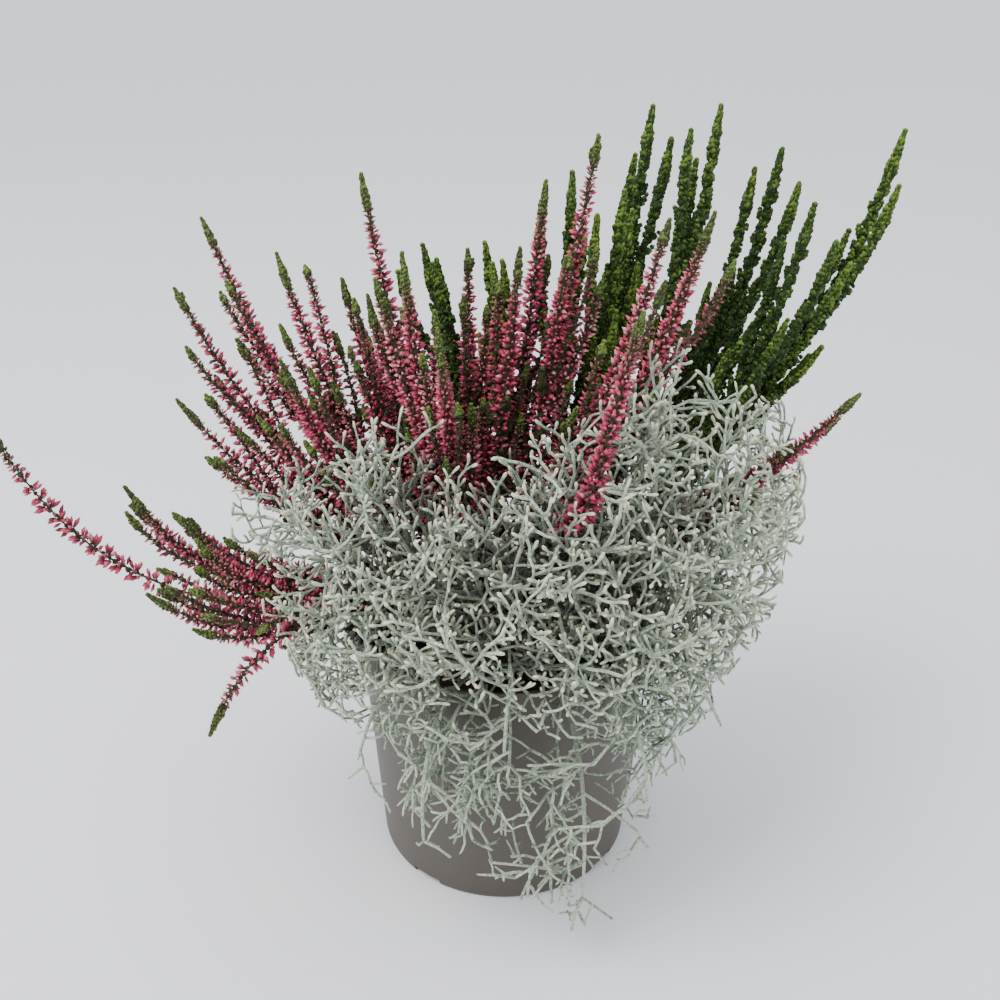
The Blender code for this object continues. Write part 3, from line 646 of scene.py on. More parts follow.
class Growth:
    """The corners, faces, finishes and marks of one piece while it is gathered.

    Three marks go on its corners for the materials. `tip` runs from 0 at the root of a leaf, bud or twig to 1
    at its end, and `tint` is a chance number for each. `height` is how old a part looks, from 0, old, to 1;
    on the silver twigs it also carries painted shade, low deep in the bush and high at its surface.
    """

    MARKS = ("tip", "tint", "height")

    def __init__(self):
        self.corners, self.faces, self.finishes, self.smooth = [], [], [], []
        self.marks = {mark: [] for mark in self.MARKS}
        self.count = 0

    def add_faces(self, group, finish, smooth):
        self.faces += (group + self.count).tolist()
        self.finishes.append(np.full(len(group), finish))
        self.smooth.append(np.full(len(group), smooth))

    def add_shape_faces(self, shape, copies, finish, smooth):
        first = (np.arange(copies) * len(shape.corners))[:, None, None]
        for size in sorted({len(face) for face in shape.faces}):
            group = np.array([face for face in shape.faces if len(face) == size])
            self.add_faces((group[None] + first).reshape(-1, size), finish, smooth)

    def add_corners(self, corners, *marks):
        self.corners.append(corners)
        for mark, value in zip(self.MARKS, marks):
            self.marks[mark].append(np.broadcast_to(value, len(corners)))
        self.count += len(corners)

    def add_copies(self, shape, roots, ways, facing, sizes, finish, smooth, tint, height):
        """Copies of a shape, each grown along its way with its back to `facing`.

        Each size is the width, the depth and the length.
        """
        across = units(np.cross(ways, facing))
        back = np.cross(ways, across)
        local = shape.corners[None] * sizes[:, None]
        x, y, z = local[..., :1], local[..., 1:2], local[..., 2:]
        corners = roots[:, None] + (x * across[:, None] + y * back[:, None] + z * ways[:, None])
        copies, each = local.shape[:2]
        self.add_shape_faces(shape, copies, finish, smooth)
        tips = np.tile(shape.corners[:, 2], copies)
        self.add_corners(corners.reshape(-1, 3), tips, np.repeat(tint, each), np.repeat(height, each))

    def add_tubes(self, paths, radii, sides, tip, tint, height):
        """Closed woody tubes along many paths of equally many points. The marks are given for each point."""
        number, rings = paths.shape[:2]
        ways = units(np.gradient(paths, axis=1))
        side = np.cross(ways[:, 0], (0.31, 0.17, 0.93))
        angles = math.tau * np.arange(sides) / sides
        corners = np.zeros((number, rings, sides, 3))
        for ring in range(rings):
            way = ways[:, ring]
            side = units(side - way * (side * way).sum(1, keepdims=True))
            spokes = leaning(side[:, None], np.cross(way, side)[:, None], angles)
            corners[:, ring] = paths[:, ring, None] + spokes * radii[:, ring, None, None]
        first = (np.arange(number) * rings * sides)[:, None, None]
        base = first + (np.arange(rings - 1) * sides)[None, :, None]
        low, after = base + np.arange(sides), base + (np.arange(sides) + 1) % sides
        walls = np.stack([low, after, after + sides, low + sides], -1)
        ends = first[:, 0] + np.arange(sides)[None]
        for group in (walls.reshape(-1, 4), ends[:, ::-1], ends + (rings - 1) * sides):
            self.add_faces(group, WOOD, True)
        marks = [np.repeat(np.broadcast_to(mark, (number, rings)), sides) for mark in (tip, tint, height)]
        self.add_corners(corners.reshape(-1, 3), *marks)

    def grown(self, name, materials):
        """The finished piece."""
        mesh = bpy.data.meshes.new(name)
        mesh.from_pydata(np.concatenate(self.corners), [], self.faces)
        mesh.polygons.foreach_set("material_index", np.concatenate(self.finishes))
        mesh.polygons.foreach_set("use_smooth", np.concatenate(self.smooth))
        for mark, values in self.marks.items():
            attribute = mesh.attributes.new(mark, "FLOAT", "POINT")
            attribute.data.foreach_set("value", np.concatenate(values).astype(np.float32))
        for material in materials:
            mesh.materials.append(material)
        mesh.update()
        piece = bpy.data.objects.new(name, mesh)
        bpy.context.scene.collection.objects.link(piece)
        return piece


class Stalk:
    """A smooth line that knows, all along it, its way on and two directions square to that."""

    def __init__(self, path, count=STEM_POINTS):
        self.length = length_of(path)
        self.shares = np.linspace(0, 1, count)
        points = resampled(path, self.shares)
        for _ in range(4):
            points[1:-1] = (points[:-2] + 2 * points[1:-1] + points[2:]) / 4
        ways = units(np.gradient(points, axis=0))
        side = sideways(ways[0], 0)
        sides = []
        for way in ways:
            side = unit(side - way * (side @ way))
            sides.append(side)
        self.points, self.ways, self.sides = points, ways, np.array(sides)

    def read(self, rows, shares):
        return np.stack([np.interp(shares, self.shares, rows[:, k]) for k in range(3)], 1)

    def at(self, shares, turns):
        """The points at these shares, the way on there, and the way outward at each turn."""
        points, ways, side = (self.read(rows, shares) for rows in (self.points, self.ways, self.sides))
        ways = units(ways)
        side = units(side - ways * (side * ways).sum(1, keepdims=True))
        return points, ways, leaning(side, np.cross(ways, side), turns)


# Materials

class Strand:
    """One output of a material's nodes. Plain arithmetic on it adds Math nodes."""

    def __init__(self, finish, socket):
        self.finish = finish
        self.socket = socket

    def math(self, operation, first, second):
        return self.finish.add("ShaderNodeMath", {"operation": operation}, {0: first, 1: second})

    def __add__(self, other):
        return self.math("ADD", self, other)

    def __sub__(self, other):
        return self.math("SUBTRACT", self, other)

    def __rsub__(self, other):
        return self.math("SUBTRACT", other, self)

    def __mul__(self, other):
        return self.math("MULTIPLY", self, other)

    __radd__ = __add__
    __rmul__ = __mul__


class Finish:
    """A material while its nodes are laid. Numbers that are the same all over are set on its shader."""

    def __init__(self, name, **numbers):
        self.material = bpy.data.materials.new(name)
        self.material.use_nodes = True
        self.nodes = self.material.node_tree.nodes
        self.links = self.material.node_tree.links
        self.shader = self.nodes["Principled BSDF"]
        for socket, value in numbers.items():
            self.shader.inputs[socket.replace("_", " ").title().replace("Ior", "IOR")].default_value = value

    def feed(self, socket, value):
        if isinstance(value, Strand):
            self.links.new(value.socket, socket)
        elif isinstance(value, (int, float)):
            socket.default_value = value
        elif len(value) < len(socket.default_value):
            socket.default_value = (*value, 1)
        else:
            socket.default_value = value

    def add(self, kind, settings=None, values=None, output=0):
        """Adds a node of any kind: its settings are set first, and then its sockets' values or links."""
        node = self.nodes.new(kind)
        for setting, value in (settings or {}).items():
            if setting == "stops":
                self.set_stops(node.color_ramp, value)
            else:
                setattr(node, setting, value)
        for socket, value in (values or {}).items():
            self.feed(node.inputs[socket], value)
        return Strand(self, node.outputs[output])

    def set_stops(self, ramp, stops):
        while len(ramp.elements) < len(stops):
            ramp.elements.new(0.5)
        for element, (place, colour) in zip(ramp.elements, stops):
            element.position = place
            element.color = (*colour, 1)

    def mark(self, name):
        """A mark that the mesh carries on its corners."""
        return self.add("ShaderNodeAttribute", {"attribute_name": name}, output=2)

    def noise(self, scale, detail=3, stretch=None):
        """Cloudy noise over the piece's own coordinates, which are in metres."""
        where = self.add("ShaderNodeTexCoord", output=3)
        if stretch:
            where = self.add("ShaderNodeMapping", values={"Vector": where, "Scale": stretch})
        values = {"Vector": where, "Scale": scale, "Detail": detail}
        return self.add("ShaderNodeTexNoise", values=values)

    def mixed(self, share, first, second):
        """One colour turning into another."""
        settings = {"data_type": "RGBA", "clamp_factor": True}
        return self.add("ShaderNodeMix", settings, {0: share, 6: first, 7: second}, output=2)

    def ramped(self, value, stops):
        return self.add("ShaderNodeValToRGB", {"stops": stops}, {"Fac": value})

    def relief(self, height, strength, distance):
        values = {"Strength": strength, "Distance": distance, "Height": height}
        self.paint("Normal", self.add("ShaderNodeBump", values=values))

    def paint(self, socket, value):
        self.feed(self.shader.inputs[socket], value)


def shaded(colour, factor):
    """A colour made darker or paler."""
    return tuple(min(part * factor, 1) for part in colour)


def moulded_plastic(settings):
    """The pot's matt plastic, a little mottled, with faint upright streaks and a fine grain."""
    finish = Finish("moulded plastic", specular_ior_level=0.4)
    cloud = finish.noise(38, 4)
    streak = finish.noise(60, 3, stretch=(1, 1, 0.12))
    grain = finish.noise(2600, 2)
    dark, pale = shaded(settings.colour, 0.88), shaded(settings.colour, 1.14)
    finish.paint("Base Color", finish.mixed(cloud * 0.6 + streak * 0.3, dark, pale))
    finish.paint("Roughness", cloud * 0.16 + (settings.roughness - 0.08))
    finish.relief(grain, 0.25, 0.0002)
    return finish.material


def peaty_soil(settings):
    """Dark damp peat with paler fibres."""
    finish = Finish("peaty soil", roughness=0.95, specular_ior_level=0.2)
    cloud = finish.noise(420, 5)
    fibre = finish.noise(160, 3, stretch=(1, 6, 1))
    tone = finish.mixed(cloud, shaded(settings.colour, 0.45), settings.colour)
    finish.paint("Base Color", finish.mixed((fibre - 0.52) * 4, tone, shaded(settings.colour, 2.2)))
    finish.relief(cloud, 0.6, 0.0012)
    return finish.material


def heather_bark(settings):
    """Thin woody stems, green-brown above and browner at the foot."""
    finish = Finish("heather bark", roughness=0.8)
    cloud = finish.noise(900, 3, stretch=(1, 1, 0.3))
    tone = finish.mixed(finish.mark("height"), settings.wood_colour, shaded(settings.leaf_colour, 0.9))
    finish.paint("Base Color", finish.mixed(cloud, tone, shaded(settings.wood_colour, 0.5)))
    finish.relief(cloud, 0.4, 0.0003)
    return finish.material


def bud_petals(settings):
    """Closed buds, dark at the root and bright at the point, maroon on some stems and pale on others."""
    finish = Finish("bud petals", roughness=0.5, sheen_weight=0.1)
    tip, tint = finish.mark("tip"), finish.mark("tint")
    fleck = finish.noise(1500, 2)
    middle = ((0.4, settings.bud_colour), (0.75, settings.bright_colour))
    stops = ((0, settings.dark_colour), *middle, (1, settings.pale_colour))
    bright = finish.ramped(tint + fleck * 0.3 - 0.15, stops)
    grown = finish.mixed(finish.mark("height") * 3.2 - 2.05, settings.young_colour, bright)
    finish.paint("Base Color", finish.mixed(tip * 2.2 + fleck * 0.4 - 0.72, settings.deep_colour, grown))
    finish.relief(fleck, 0.2, 0.0002)
    return finish.material


def heather_leaves(name, settings):
    """Scale leaves, dark at their roots and where they are old, and fresh green at their points."""
    finish = Finish(name, roughness=0.6, specular_ior_level=0.25)
    tip, tint, height = map(finish.mark, Growth.MARKS)
    fleck = finish.noise(1300, 2)
    fresh = height * 0.6 + tip * 0.9 + tint * 0.6 + fleck * 0.4 - 1.05
    finish.paint("Base Color", finish.mixed(fresh, settings.leaf_colour, settings.fresh_colour))
    finish.relief(fleck, 0.25, 0.0003)
    return finish.material


def silver_wool(settings):
    """Patchy white wool over grey-green twigs, dark deep in the bush as older wood and painted shade, and
    creamy at their tips.
    """
    finish = Finish("silver wool", roughness=0.9, sheen_weight=0.3, sheen_roughness=0.6)
    tip, tint, height = map(finish.mark, Growth.MARKS)
    scales = finish.noise(900, 2)
    cloud = finish.noise(120, 2)
    wool = finish.mixed(scales * 2.0 + tint * 0.8 - 0.78, settings.shade_colour, settings.wool_colour)
    # Painted shade, with older wood: where `height` is low, deep in the bush, the wool turns to the dark
    # old-wood colour, and the creamy tips fade out.
    old = finish.mixed((0.85 - height) * 1.8 + cloud * 0.4 - 0.2, wool, settings.wood_colour)
    finish.paint("Base Color", finish.mixed((tip - 0.6) * 3 * height, old, settings.tip_colour))
    finish.relief(scales, 0.9, 0.0008)
    return finish.material


def studio_floor(settings):
    """The plain pale floor, very faintly clouded."""
    finish = Finish("studio floor", roughness=0.85)
    dark = shaded(settings.floor_colour, 0.97)
    finish.paint("Base Color", finish.mixed(finish.noise(0.8, 2), dark, settings.floor_colour))
    return finish.material


# The settings that a user would change

def amount(name, description, default, **more):
    return FloatProperty(name=name, description=description, default=default, **more)


def angle(name, description, degrees):
    return amount(name, description, math.radians(degrees), subtype="ANGLE")


def whole(name, description, default, least=0):
    return IntProperty(name=name, description=description, default=default, min=least)


def colour(name, description, default):
    return FloatVectorProperty(
        name=name, description=description, default=default, size=3, min=0, max=1, subtype="COLOR"
    )


length = functools.partial(amount, min=0, unit="LENGTH", precision=5)
share = functools.partial(amount, min=0, max=1, subtype="FACTOR")


class PotSettings(bpy.types.PropertyGroup):
    sides: whole("Sides", "Corners round the pot", 120, 32)
    edge: length("Edge radius", "Rounding of the moulded edges", 0.35 * MM)
    colour: colour("Plastic", "Colour of the pot", (0.078, 0.067, 0.055))
    roughness: share("Roughness", "How matt the plastic is", 0.52)


class SoilSettings(bpy.types.PropertyGroup):
    crumbs: whole("Crumbs", "Loose crumbs on the soil", 400)
    crumb_size: length("Crumb size", "Radius of a middling crumb", 1.0 * MM)
    colour: colour("Peat", "Colour of the soil", (0.055, 0.036, 0.024))


class PinkSettings(bpy.types.PropertyGroup):
    whorl_gap: length("Whorl gap", "Distance between whorls of buds", 3.0 * MM)
    buds: whole("Buds", "Buds in a full whorl", 9, 4)
    bud_length: length("Bud length", "Length of a full-grown bud", 4.3 * MM)
    bud_width: length("Bud width", "Width of a full-grown bud", 1.65 * MM)
    leaf_length: length("Leaf length", "Length of a scale leaf", 1.9 * MM)
    tip_length: length("Green tip", "Length of the leafy tip above the buds", 12.5 * MM)
    stem_radius: length("Stem radius", "Radius of a stem at its foot", 0.95 * MM)
    bud_colour: colour("Bud", "Colour of most buds", (0.45, 0.026, 0.082))
    bright_colour: colour("Bright bud", "Colour of the brighter buds", (0.68, 0.075, 0.165))
    pale_colour: colour("Pale bud", "Colour of the palest buds", (0.76, 0.34, 0.36))
    dark_colour: colour("Dark bud", "Colour of the buds on thin dark stems", (0.11, 0.014, 0.024))
    young_colour: colour("Young bud", "Colour of the small buds under the leafy tip", (0.21, 0.13, 0.070))
    deep_colour: colour("Bud root", "Colour of the buds' roots", (0.130, 0.018, 0.030))
    leaf_colour: colour("Leaf", "Colour of old leaves", (0.040, 0.040, 0.016))
    fresh_colour: colour("Fresh leaf", "Colour of young leaves", (0.150, 0.245, 0.042))
    wood_colour: colour("Wood", "Colour of the stems", (0.070, 0.040, 0.026))


class GreenSettings(bpy.types.PropertyGroup):
    shoot_gap: length("Shoot gap", "Distance along a stem from one short shoot to the next", 2.0 * MM)
    shoot_length: length("Shoot length", "Length of a short shoot", 7.6 * MM)
    shoot_angle: angle("Shoot angle", "How far a short shoot leans from its stem", 31)
    end_length: length("End length", "Length of the single pointed shoot at the top", 16 * MM)
    leaf_length: length("Leaf length", "Length of a scale leaf", 2.0 * MM)
    stem_radius: length("Stem radius", "Radius of a stem at its foot", 1.2 * MM)
    leaf_colour: colour("Leaf", "Colour of old leaves", (0.018, 0.040, 0.007))
    fresh_colour: colour("Fresh leaf", "Colour of young leaves", (0.180, 0.290, 0.030))
    wood_colour: colour("Wood", "Colour of the stems", (0.070, 0.045, 0.024))


class SilverSettings(bpy.types.PropertyGroup):
    gap: length("Twig gap", "Distance along a stem from one twig to the next", 6.4 * MM)
    twig_length: length("Twig length", "Length of a twig from one fork to the next", 8.4 * MM)
    forks: whole("Forks", "How often a twig forks on its way", 3)
    onward_angle: angle("Onward angle", "How far a twig bends at a fork", 17)
    fork_angle: angle("Fork angle", "How far a side twig leans from the one it leaves", 58)
    twig_radius: length("Twig radius", "Radius of the finest twigs", 0.47 * MM)
    tip_radius: length("Tip radius", "Radius of a twig's blunt tip", 0.66 * MM)
    room: length("Room", "Side of the small cube of space that each twig keeps", 2.3 * MM)
    wool_colour: colour("Wool", "Colour of the felted wool", (0.52, 0.60, 0.455))
    shade_colour: colour("Under the wool", "Colour that shows through the wool", (0.10, 0.15, 0.09))
    tip_colour: colour("Tip", "Colour of the young tips", (0.78, 0.77, 0.52))
    # The old-wood colour is also the painted shade deep in the bush.
    wood_colour: colour("Old wood", "Colour of the oldest stems", (0.060, 0.070, 0.042))


class StageSettings(bpy.types.PropertyGroup):
    camera_distance: length("Camera distance", "How far the camera stands in front of the pot", 0.420)
    camera_height: length("Camera height", "Height of the camera above the floor", 0.364)
    camera_tilt: angle("Camera tilt", "How far the camera looks down", 25.8)
    focal_pixels: amount("Focal length", "Focal length in image pixels", 1153)
    middle_column: amount("Middle column", "Image column straight ahead", 504)
    floor_colour: colour("Floor", "Colour of the floor", (0.90, 0.91, 0.94))
    key_power: amount("Key light", "Power of the soft key light in watts", 22)
    sky_strength: amount("Sky", "Strength of the even light from all sides", 1.35)


# The pieces

def finished(piece, node):
    """Sets a piece in the frame, in place of its solid."""
    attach(piece, "root")
    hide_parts(node)
    return piece


def rounded(profile, radius, steps=3):
    """A profile of (radius, height) points with its inner corners rounded."""
    points = [Vector(profile[0])]
    for before, corner, after in zip(profile, profile[1:], profile[2:]):
        before, corner, after = Vector(before), Vector(corner), Vector(after)
        cut = min(radius, (corner - before).length * 0.45, (after - corner).length * 0.45)
        start = corner + (before - corner).normalized() * cut
        end = corner + (after - corner).normalized() * cut
        for step in range(steps):
            t = step / (steps - 1)
            points.append(start * (1 - t) ** 2 + corner * 2 * t * (1 - t) + end * t**2)
    points.append(Vector(profile[-1]))
    return points


def turned(name, profile, sides):
    """A round body drawn ring by ring: a disc is extruded and resized to each (radius, height) in turn."""
    deselected()
    radius, height = profile[0]
    bpy.ops.mesh.primitive_circle_add(
        vertices=sides, radius=radius, fill_type="NGON", location=(0, 0, height)
    )
    obj = bpy.context.object
    obj.name = name
    bpy.ops.object.transform_apply(location=True, rotation=False, scale=False)
    bpy.ops.object.mode_set(mode="EDIT")
    bpy.ops.mesh.select_all(action="SELECT")
    for new_radius, new_height in profile[1:]:
        bpy.ops.mesh.extrude_region_move(TRANSFORM_OT_translate={"value": (0, 0, new_height - height)})
        ratio = new_radius / radius
        bpy.ops.transform.resize(value=(ratio, ratio, 1), center_override=(0, 0, new_height))
        radius, height = new_radius, new_height
    bpy.ops.mesh.select_all(action="SELECT")
    bpy.ops.mesh.normals_make_consistent(inside=False)
    bpy.ops.object.mode_set(mode="OBJECT")
    return obj


def cutter(kind, turn):
    """A block for a drain notch, or a rod for a drain hole, at one turn round the foot."""
    deselected()
    if kind == "notch":
        bpy.ops.mesh.primitive_cube_add(size=1, location=(FOOT_RADIUS, 0, 0))
        bpy.ops.transform.resize(value=(FOOT_WIDTH * 2.6, NOTCH_WIDTH, 2 * FOOT_HEIGHT))
    else:
        bpy.ops.mesh.primitive_cylinder_add(
            vertices=32, radius=DRAIN_RADIUS, depth=4 * FLOOR_TOP, location=(DRAIN_CIRCLE, 0, 0)
        )
    obj = bpy.context.object
    bpy.ops.object.transform_apply(location=True, rotation=True, scale=True)
    obj.data.transform(Matrix.Rotation(turn, 4, "Z"))
    return obj


def cut_out(obj, tools):
    """Takes the tools out of an object, and removes them."""
    for tool in tools:
        opening = obj.modifiers.new("opening", "BOOLEAN")
        opening.operation = "DIFFERENCE"
        opening.object = tool
        opening.solver = "EXACT"
        deselected()
        bpy.context.view_layer.objects.active = obj
        bpy.ops.object.modifier_apply(modifier=opening.name)
        bpy.data.objects.remove(tool)


class HEATHER_OT_pot(bpy.types.Operator):
    """Model the plastic pot"""

    bl_idname = "heather.pot"
    bl_label = "Pot"
    bl_options = {"REGISTER", "UNDO"}

    def execute(self, context):
        settings = context.scene.heather_pot
        rim_base = POT_HEIGHT - RIM_DEPTH
        profile = [
            (BOSS_RADIUS, 0),
            (BOSS_RADIUS + 0.5 * MM, FOOT_HEIGHT),
            (FOOT_RADIUS - FOOT_WIDTH - 0.5 * MM, FOOT_HEIGHT),
            (FOOT_RADIUS - FOOT_WIDTH, 0),
            (FOOT_RADIUS - 0.6 * MM, 0),
            (FOOT_RADIUS + 0.4 * MM, 2 * MM),
            (WALL_TOP_RADIUS, rim_base - 1 * MM),
            (RIM_RADIUS - 0.8 * MM, rim_base),
            (RIM_RADIUS, POT_HEIGHT),
            (RIM_RADIUS - WALL, POT_HEIGHT),
            (RIM_RADIUS - WALL - 0.8 * MM, rim_base + 3 * MM),
            (WALL_TOP_RADIUS - WALL, rim_base),
            (FOOT_RADIUS - WALL, FLOOR_TOP),
            (BOSS_RADIUS, FLOOR_TOP),
        ]
        pot = turned("plastic_pot", rounded(profile, settings.edge), settings.sides)
        tools = []
        for number in range(NOTCHES):
            turn = math.tau * number / NOTCHES + NOTCH_TURN
            tools += [cutter("notch", turn), cutter("drain", turn)]
        cut_out(pot, tools)
        deselected()
        pot.select_set(True)
        bpy.context.view_layer.objects.active = pot
        bpy.ops.object.shade_smooth_by_angle(angle=math.radians(35))
        pot.data.materials.clear()
        pot.data.materials.append(moulded_plastic(settings))
        finished(pot, "pot")
        return {"FINISHED"}


def soil_height(x, y):
    """The soil's uneven top: the waves that its solid has, and fine crumb on them."""
    waves = (
        math.sin(210 * x + 1.0) * math.cos(190 * y)
        + 0.6 * math.sin(430 * y + 260 * x)
        + 0.5 * math.cos(520 * x - 330 * y)
    )
    crumb = noise.fractal(Vector((x, y, 0)) * 260, 0.9, 2.1, 4)
    return SOIL_RELIEF * (waves + 0.9 * crumb)


class HEATHER_OT_soil(bpy.types.Operator):
    """Model the soil and its loose crumbs"""

    bl_idname = "heather.soil"
    bl_label = "Soil"
    bl_options = {"REGISTER", "UNDO"}

    def execute(self, context):
        settings = context.scene.heather_soil
        low = FLOOR_TOP + SOIL_GAP
        slope = (WALL_TOP_RADIUS - FOOT_RADIUS) / (POT_HEIGHT - RIM_DEPTH - FLOOR_TOP)
        foot = FOOT_RADIUS - WALL - SOIL_GAP
        level = POT_HEIGHT - RIM_DEPTH - 2 * MM
        edge = foot + slope * (level - low) - 0.2 * MM
        top = SOIL_TOP - 1 * MM
        profile = [(foot, low), (edge, level)]
        profile += [(edge * (1 - ring / SOIL_RINGS), top) for ring in range(1, SOIL_RINGS)]
        body = turned("soil_body", profile, SOIL_SIDES)
        for vertex in body.data.vertices:
            if vertex.co.z > level + 1 * MM:
                vertex.co.z += soil_height(vertex.co.x, vertex.co.y)
        growth = Growth()
        shape = taken_apart(body)
        growth.add_shape_faces(shape, 1, WOOD, True)
        growth.add_corners(shape.corners, 0, 0, 0)
        rng = np.random.default_rng(SEED)
        count = settings.crumbs
        radius = (edge - 1.5 * MM) * np.sqrt(rng.random(count))
        turn = rng.uniform(0, math.tau, count)
        roots = np.stack([radius * np.cos(turn), radius * np.sin(turn), np.zeros(count)], 1)
        roots[:, 2] = [top + soil_height(x, y) for x, y, _ in roots]
        sizes = settings.crumb_size * rng.uniform(0.4, 1.3, (count, 3)) * rng.uniform(0.4, 1.5, (count, 1))
        ways = units(rng.normal(size=(count, 3)))
        facing = np.roll(ways, 1, axis=1) + 0.01
        growth.add_copies(
            crumb_shape(), roots, ways, facing, sizes, WOOD, False, rng.random(count), np.zeros(count)
        )
        soil = growth.grown("potting_soil", [peaty_soil(settings)])
        finished(soil, "soil")
        return {"FINISHED"}


def add_stalk(growth, stalk, radii, root=None, short=2.5 * MM):
    """The woody stem itself, from below the soil to a little short of its tip, where it narrows."""
    shares = np.linspace(0, 1 - short / stalk.length, SIDE_RINGS if root is None else STEM_RINGS)
    points = stalk.at(shares, shares)[0]
    if root is not None:
        points = np.concatenate([[root], points])
    shares = np.linspace(0, 1, len(points))
    widths = np.interp(shares, np.linspace(0, 1, len(radii)), radii)
    widths[-1] *= 0.5
    growth.add_tubes(points[None], widths[None], 5, shares * 0, 0.5, shares)


def started(number, path, radii, short=2.5 * MM):
    """A stem's own row of chances, its growth with the woody stem on it, and its stalk."""
    growth, stalk = Growth(), Stalk(path)
    add_stalk(growth, stalk, radii, path[0] - np.array((0, 0, ROOT_DEPTH * 0.5)), short)
    return np.random.default_rng(SEED * 100 + number), growth, stalk


def add_leaves(growth, leaf, stalk, places, turns, base, angles, long, tint, height):
    """Scale leaves set on a stalk. Their backs are to the outside."""
    points, ways, outward = stalk.at(places, turns)
    roots = points + outward * base[:, None]
    sizes = np.repeat(long[:, None], 3, 1)
    heading = leaning(ways, outward, angles)
    growth.add_copies(leaf, roots, heading, outward, sizes, LEAF, False, tint, height)


def four_ranks(pairs):
    """The turns of leaves that stand in pairs, each pair square to the one below."""
    return np.repeat(np.arange(pairs) * math.pi / 2, 2) + np.tile((0, math.pi), pairs)


def add_pointed_end(growth, leaf, rng, stalk, first, long, tint):
    """The leafy end of a stalk: leaves in four ranks that grow smaller and close up to a point."""
    last = 1 - 0.5 * long / stalk.length
    pairs = max(4, int((last - first) * stalk.length / (long * 0.34)))
    t = np.repeat(np.linspace(0, 1, pairs), 2)
    places = first + (last - first) * t
    turns = four_ranks(pairs) + rng.normal(0, 0.25, len(t))
    angles = np.radians(np.interp(t, (0, 0.2, 0.6, 1), (24, 30, 26, 4))) * rng.uniform(0.7, 1.3, len(t))
    base = np.interp(t, (0, 1), (0.2, 0.0)) * MM
    long = long * np.interp(t, (0, 0.2, 0.6, 1), (0.8, 1, 0.74, 0.45)) * rng.uniform(0.8, 1.2, len(t))
    tints = np.clip(tint + rng.normal(0, 0.25, len(t)), 0, 1)
    add_leaves(growth, leaf, stalk, places, turns, base, angles, long, tints, 0.55 + 0.45 * t)


def add_fingers(growth, leaf, rng, stalk, places, long, lean, leaf_length, tint):
    """Short shoots all round a stalk, each set with small leaves in four ranks that close to a point."""
    count = len(places)
    if not count:
        return
    turns = np.arange(count) * GOLDEN_ANGLE + rng.normal(0, 0.25, count)
    points, ways, outward = stalk.at(places, turns)
    heading = leaning(ways, outward, lean * rng.uniform(0.5, 1.25, count))
    long = long * rng.uniform(0.6, 1.12, count)
    side = units(np.cross(heading, outward))
    pairs = max(3, round(float(np.median(long)) / (leaf_length * 0.7)))
    t = np.repeat(np.linspace(0.12, 0.95, pairs), 2)
    angles = four_ranks(pairs) + rng.normal(0, 0.25, (count, 2 * pairs))
    spokes = leaning(side[:, None], np.cross(side, heading)[:, None], angles)
    along = points[:, None] + heading[:, None] * (long[:, None] * t[None])[..., None]
    bow = outward[:, None] * (np.sin(t * math.pi)[None] * long[:, None] * 0.06)[..., None]
    opening = np.radians(np.interp(t, (0, 0.6, 0.95), (46, 36, 4)))
    opening = opening * rng.uniform(0.75, 1.25, angles.shape)
    ways_out = leaning(heading[:, None], spokes, opening)
    size = leaf_length * np.interp(t, (0, 0.4, 0.95), (1.05, 1, 0.55))
    size = size * rng.uniform(0.8, 1.2, angles.shape)
    chance = np.clip(tint + rng.normal(0, 0.16, (count, 1)) + rng.normal(0, 0.2, angles.shape), 0, 1)
    height = 0.05 + 0.35 * places[:, None] ** 2 + 0.45 * t[None] ** 2
    vectors = [rows.reshape(-1, 3) for rows in (along + bow, ways_out, spokes)]
    sizes = np.repeat(size.reshape(-1, 1), 3, 1)
    growth.add_copies(leaf, *vectors, sizes, LEAF, False, chance.reshape(-1), height.reshape(-1))


def add_buds(growth, bud, leaf, rng, stalk, first, last, reach, settings, tone, gap):
    """Whorls of buds with small leaves between. `tone` goes from 0, thin and dark, to 1, full and pale."""
    whorls = max(1, int((last - first) * stalk.length / gap))
    most = settings.buds - 3 * (tone < 0.3) + round(3 * (gap / settings.whorl_gap - 1))
    places, turns = [], []
    for whorl in range(whorls):
        buds = int(rng.integers(most - 1, most + 2))
        place = last - (last - first) * (1 - whorl / whorls) ** 1.25
        places += list(place + rng.normal(0, 0.16 * gap, buds) / stalk.length)
        around = np.arange(buds) + rng.normal(0, 0.2, buds)
        turns += list(whorl * GOLDEN_ANGLE + math.tau * around / buds)
    places, turns = np.clip(np.array(places), 0, 1), np.array(turns)
    count = len(places)
    full = np.clip(1.08 * reach(places) / REACH["pink"], 0.78, 1.3) * min(1, 0.8 + 0.4 * tone)
    young = np.interp((last - places) * stalk.length, (0, 17 * MM), (0.62, 1))
    points, ways, outward = stalk.at(places, turns)
    angles = np.radians(np.clip(rng.normal(68, 16, count), 30, 105))
    roots = points + outward * (0.45 * MM * full)[:, None]
    long = settings.bud_length * full * young * rng.uniform(0.72, 1.1, count)
    wide = settings.bud_width / settings.bud_length * long * 2 * rng.uniform(0.8, 1.2, count)
    tint = np.clip(rng.normal(tone, 0.22, count), 0, 1)
    sizes = np.stack([wide, wide, long], 1)
    heading = leaning(ways, outward, angles)
    growth.add_copies(bud, roots, heading, outward, sizes, BUD, True, tint, young)

    count = whorls * 2
    places = first + (last - first) * (np.arange(count) + 0.5) / count
    turns = np.arange(count) * GOLDEN_ANGLE
    long = settings.leaf_length * rng.uniform(0.5, 0.85, count)
    angles = np.radians(rng.uniform(12, 40, count))
    height = 0.1 + 0.3 * places * rng.random(count)
    base = np.full(count, 0.15 * MM)
    add_leaves(growth, leaf, stalk, places, turns, base, angles, long, rng.random(count) * 0.6, height)


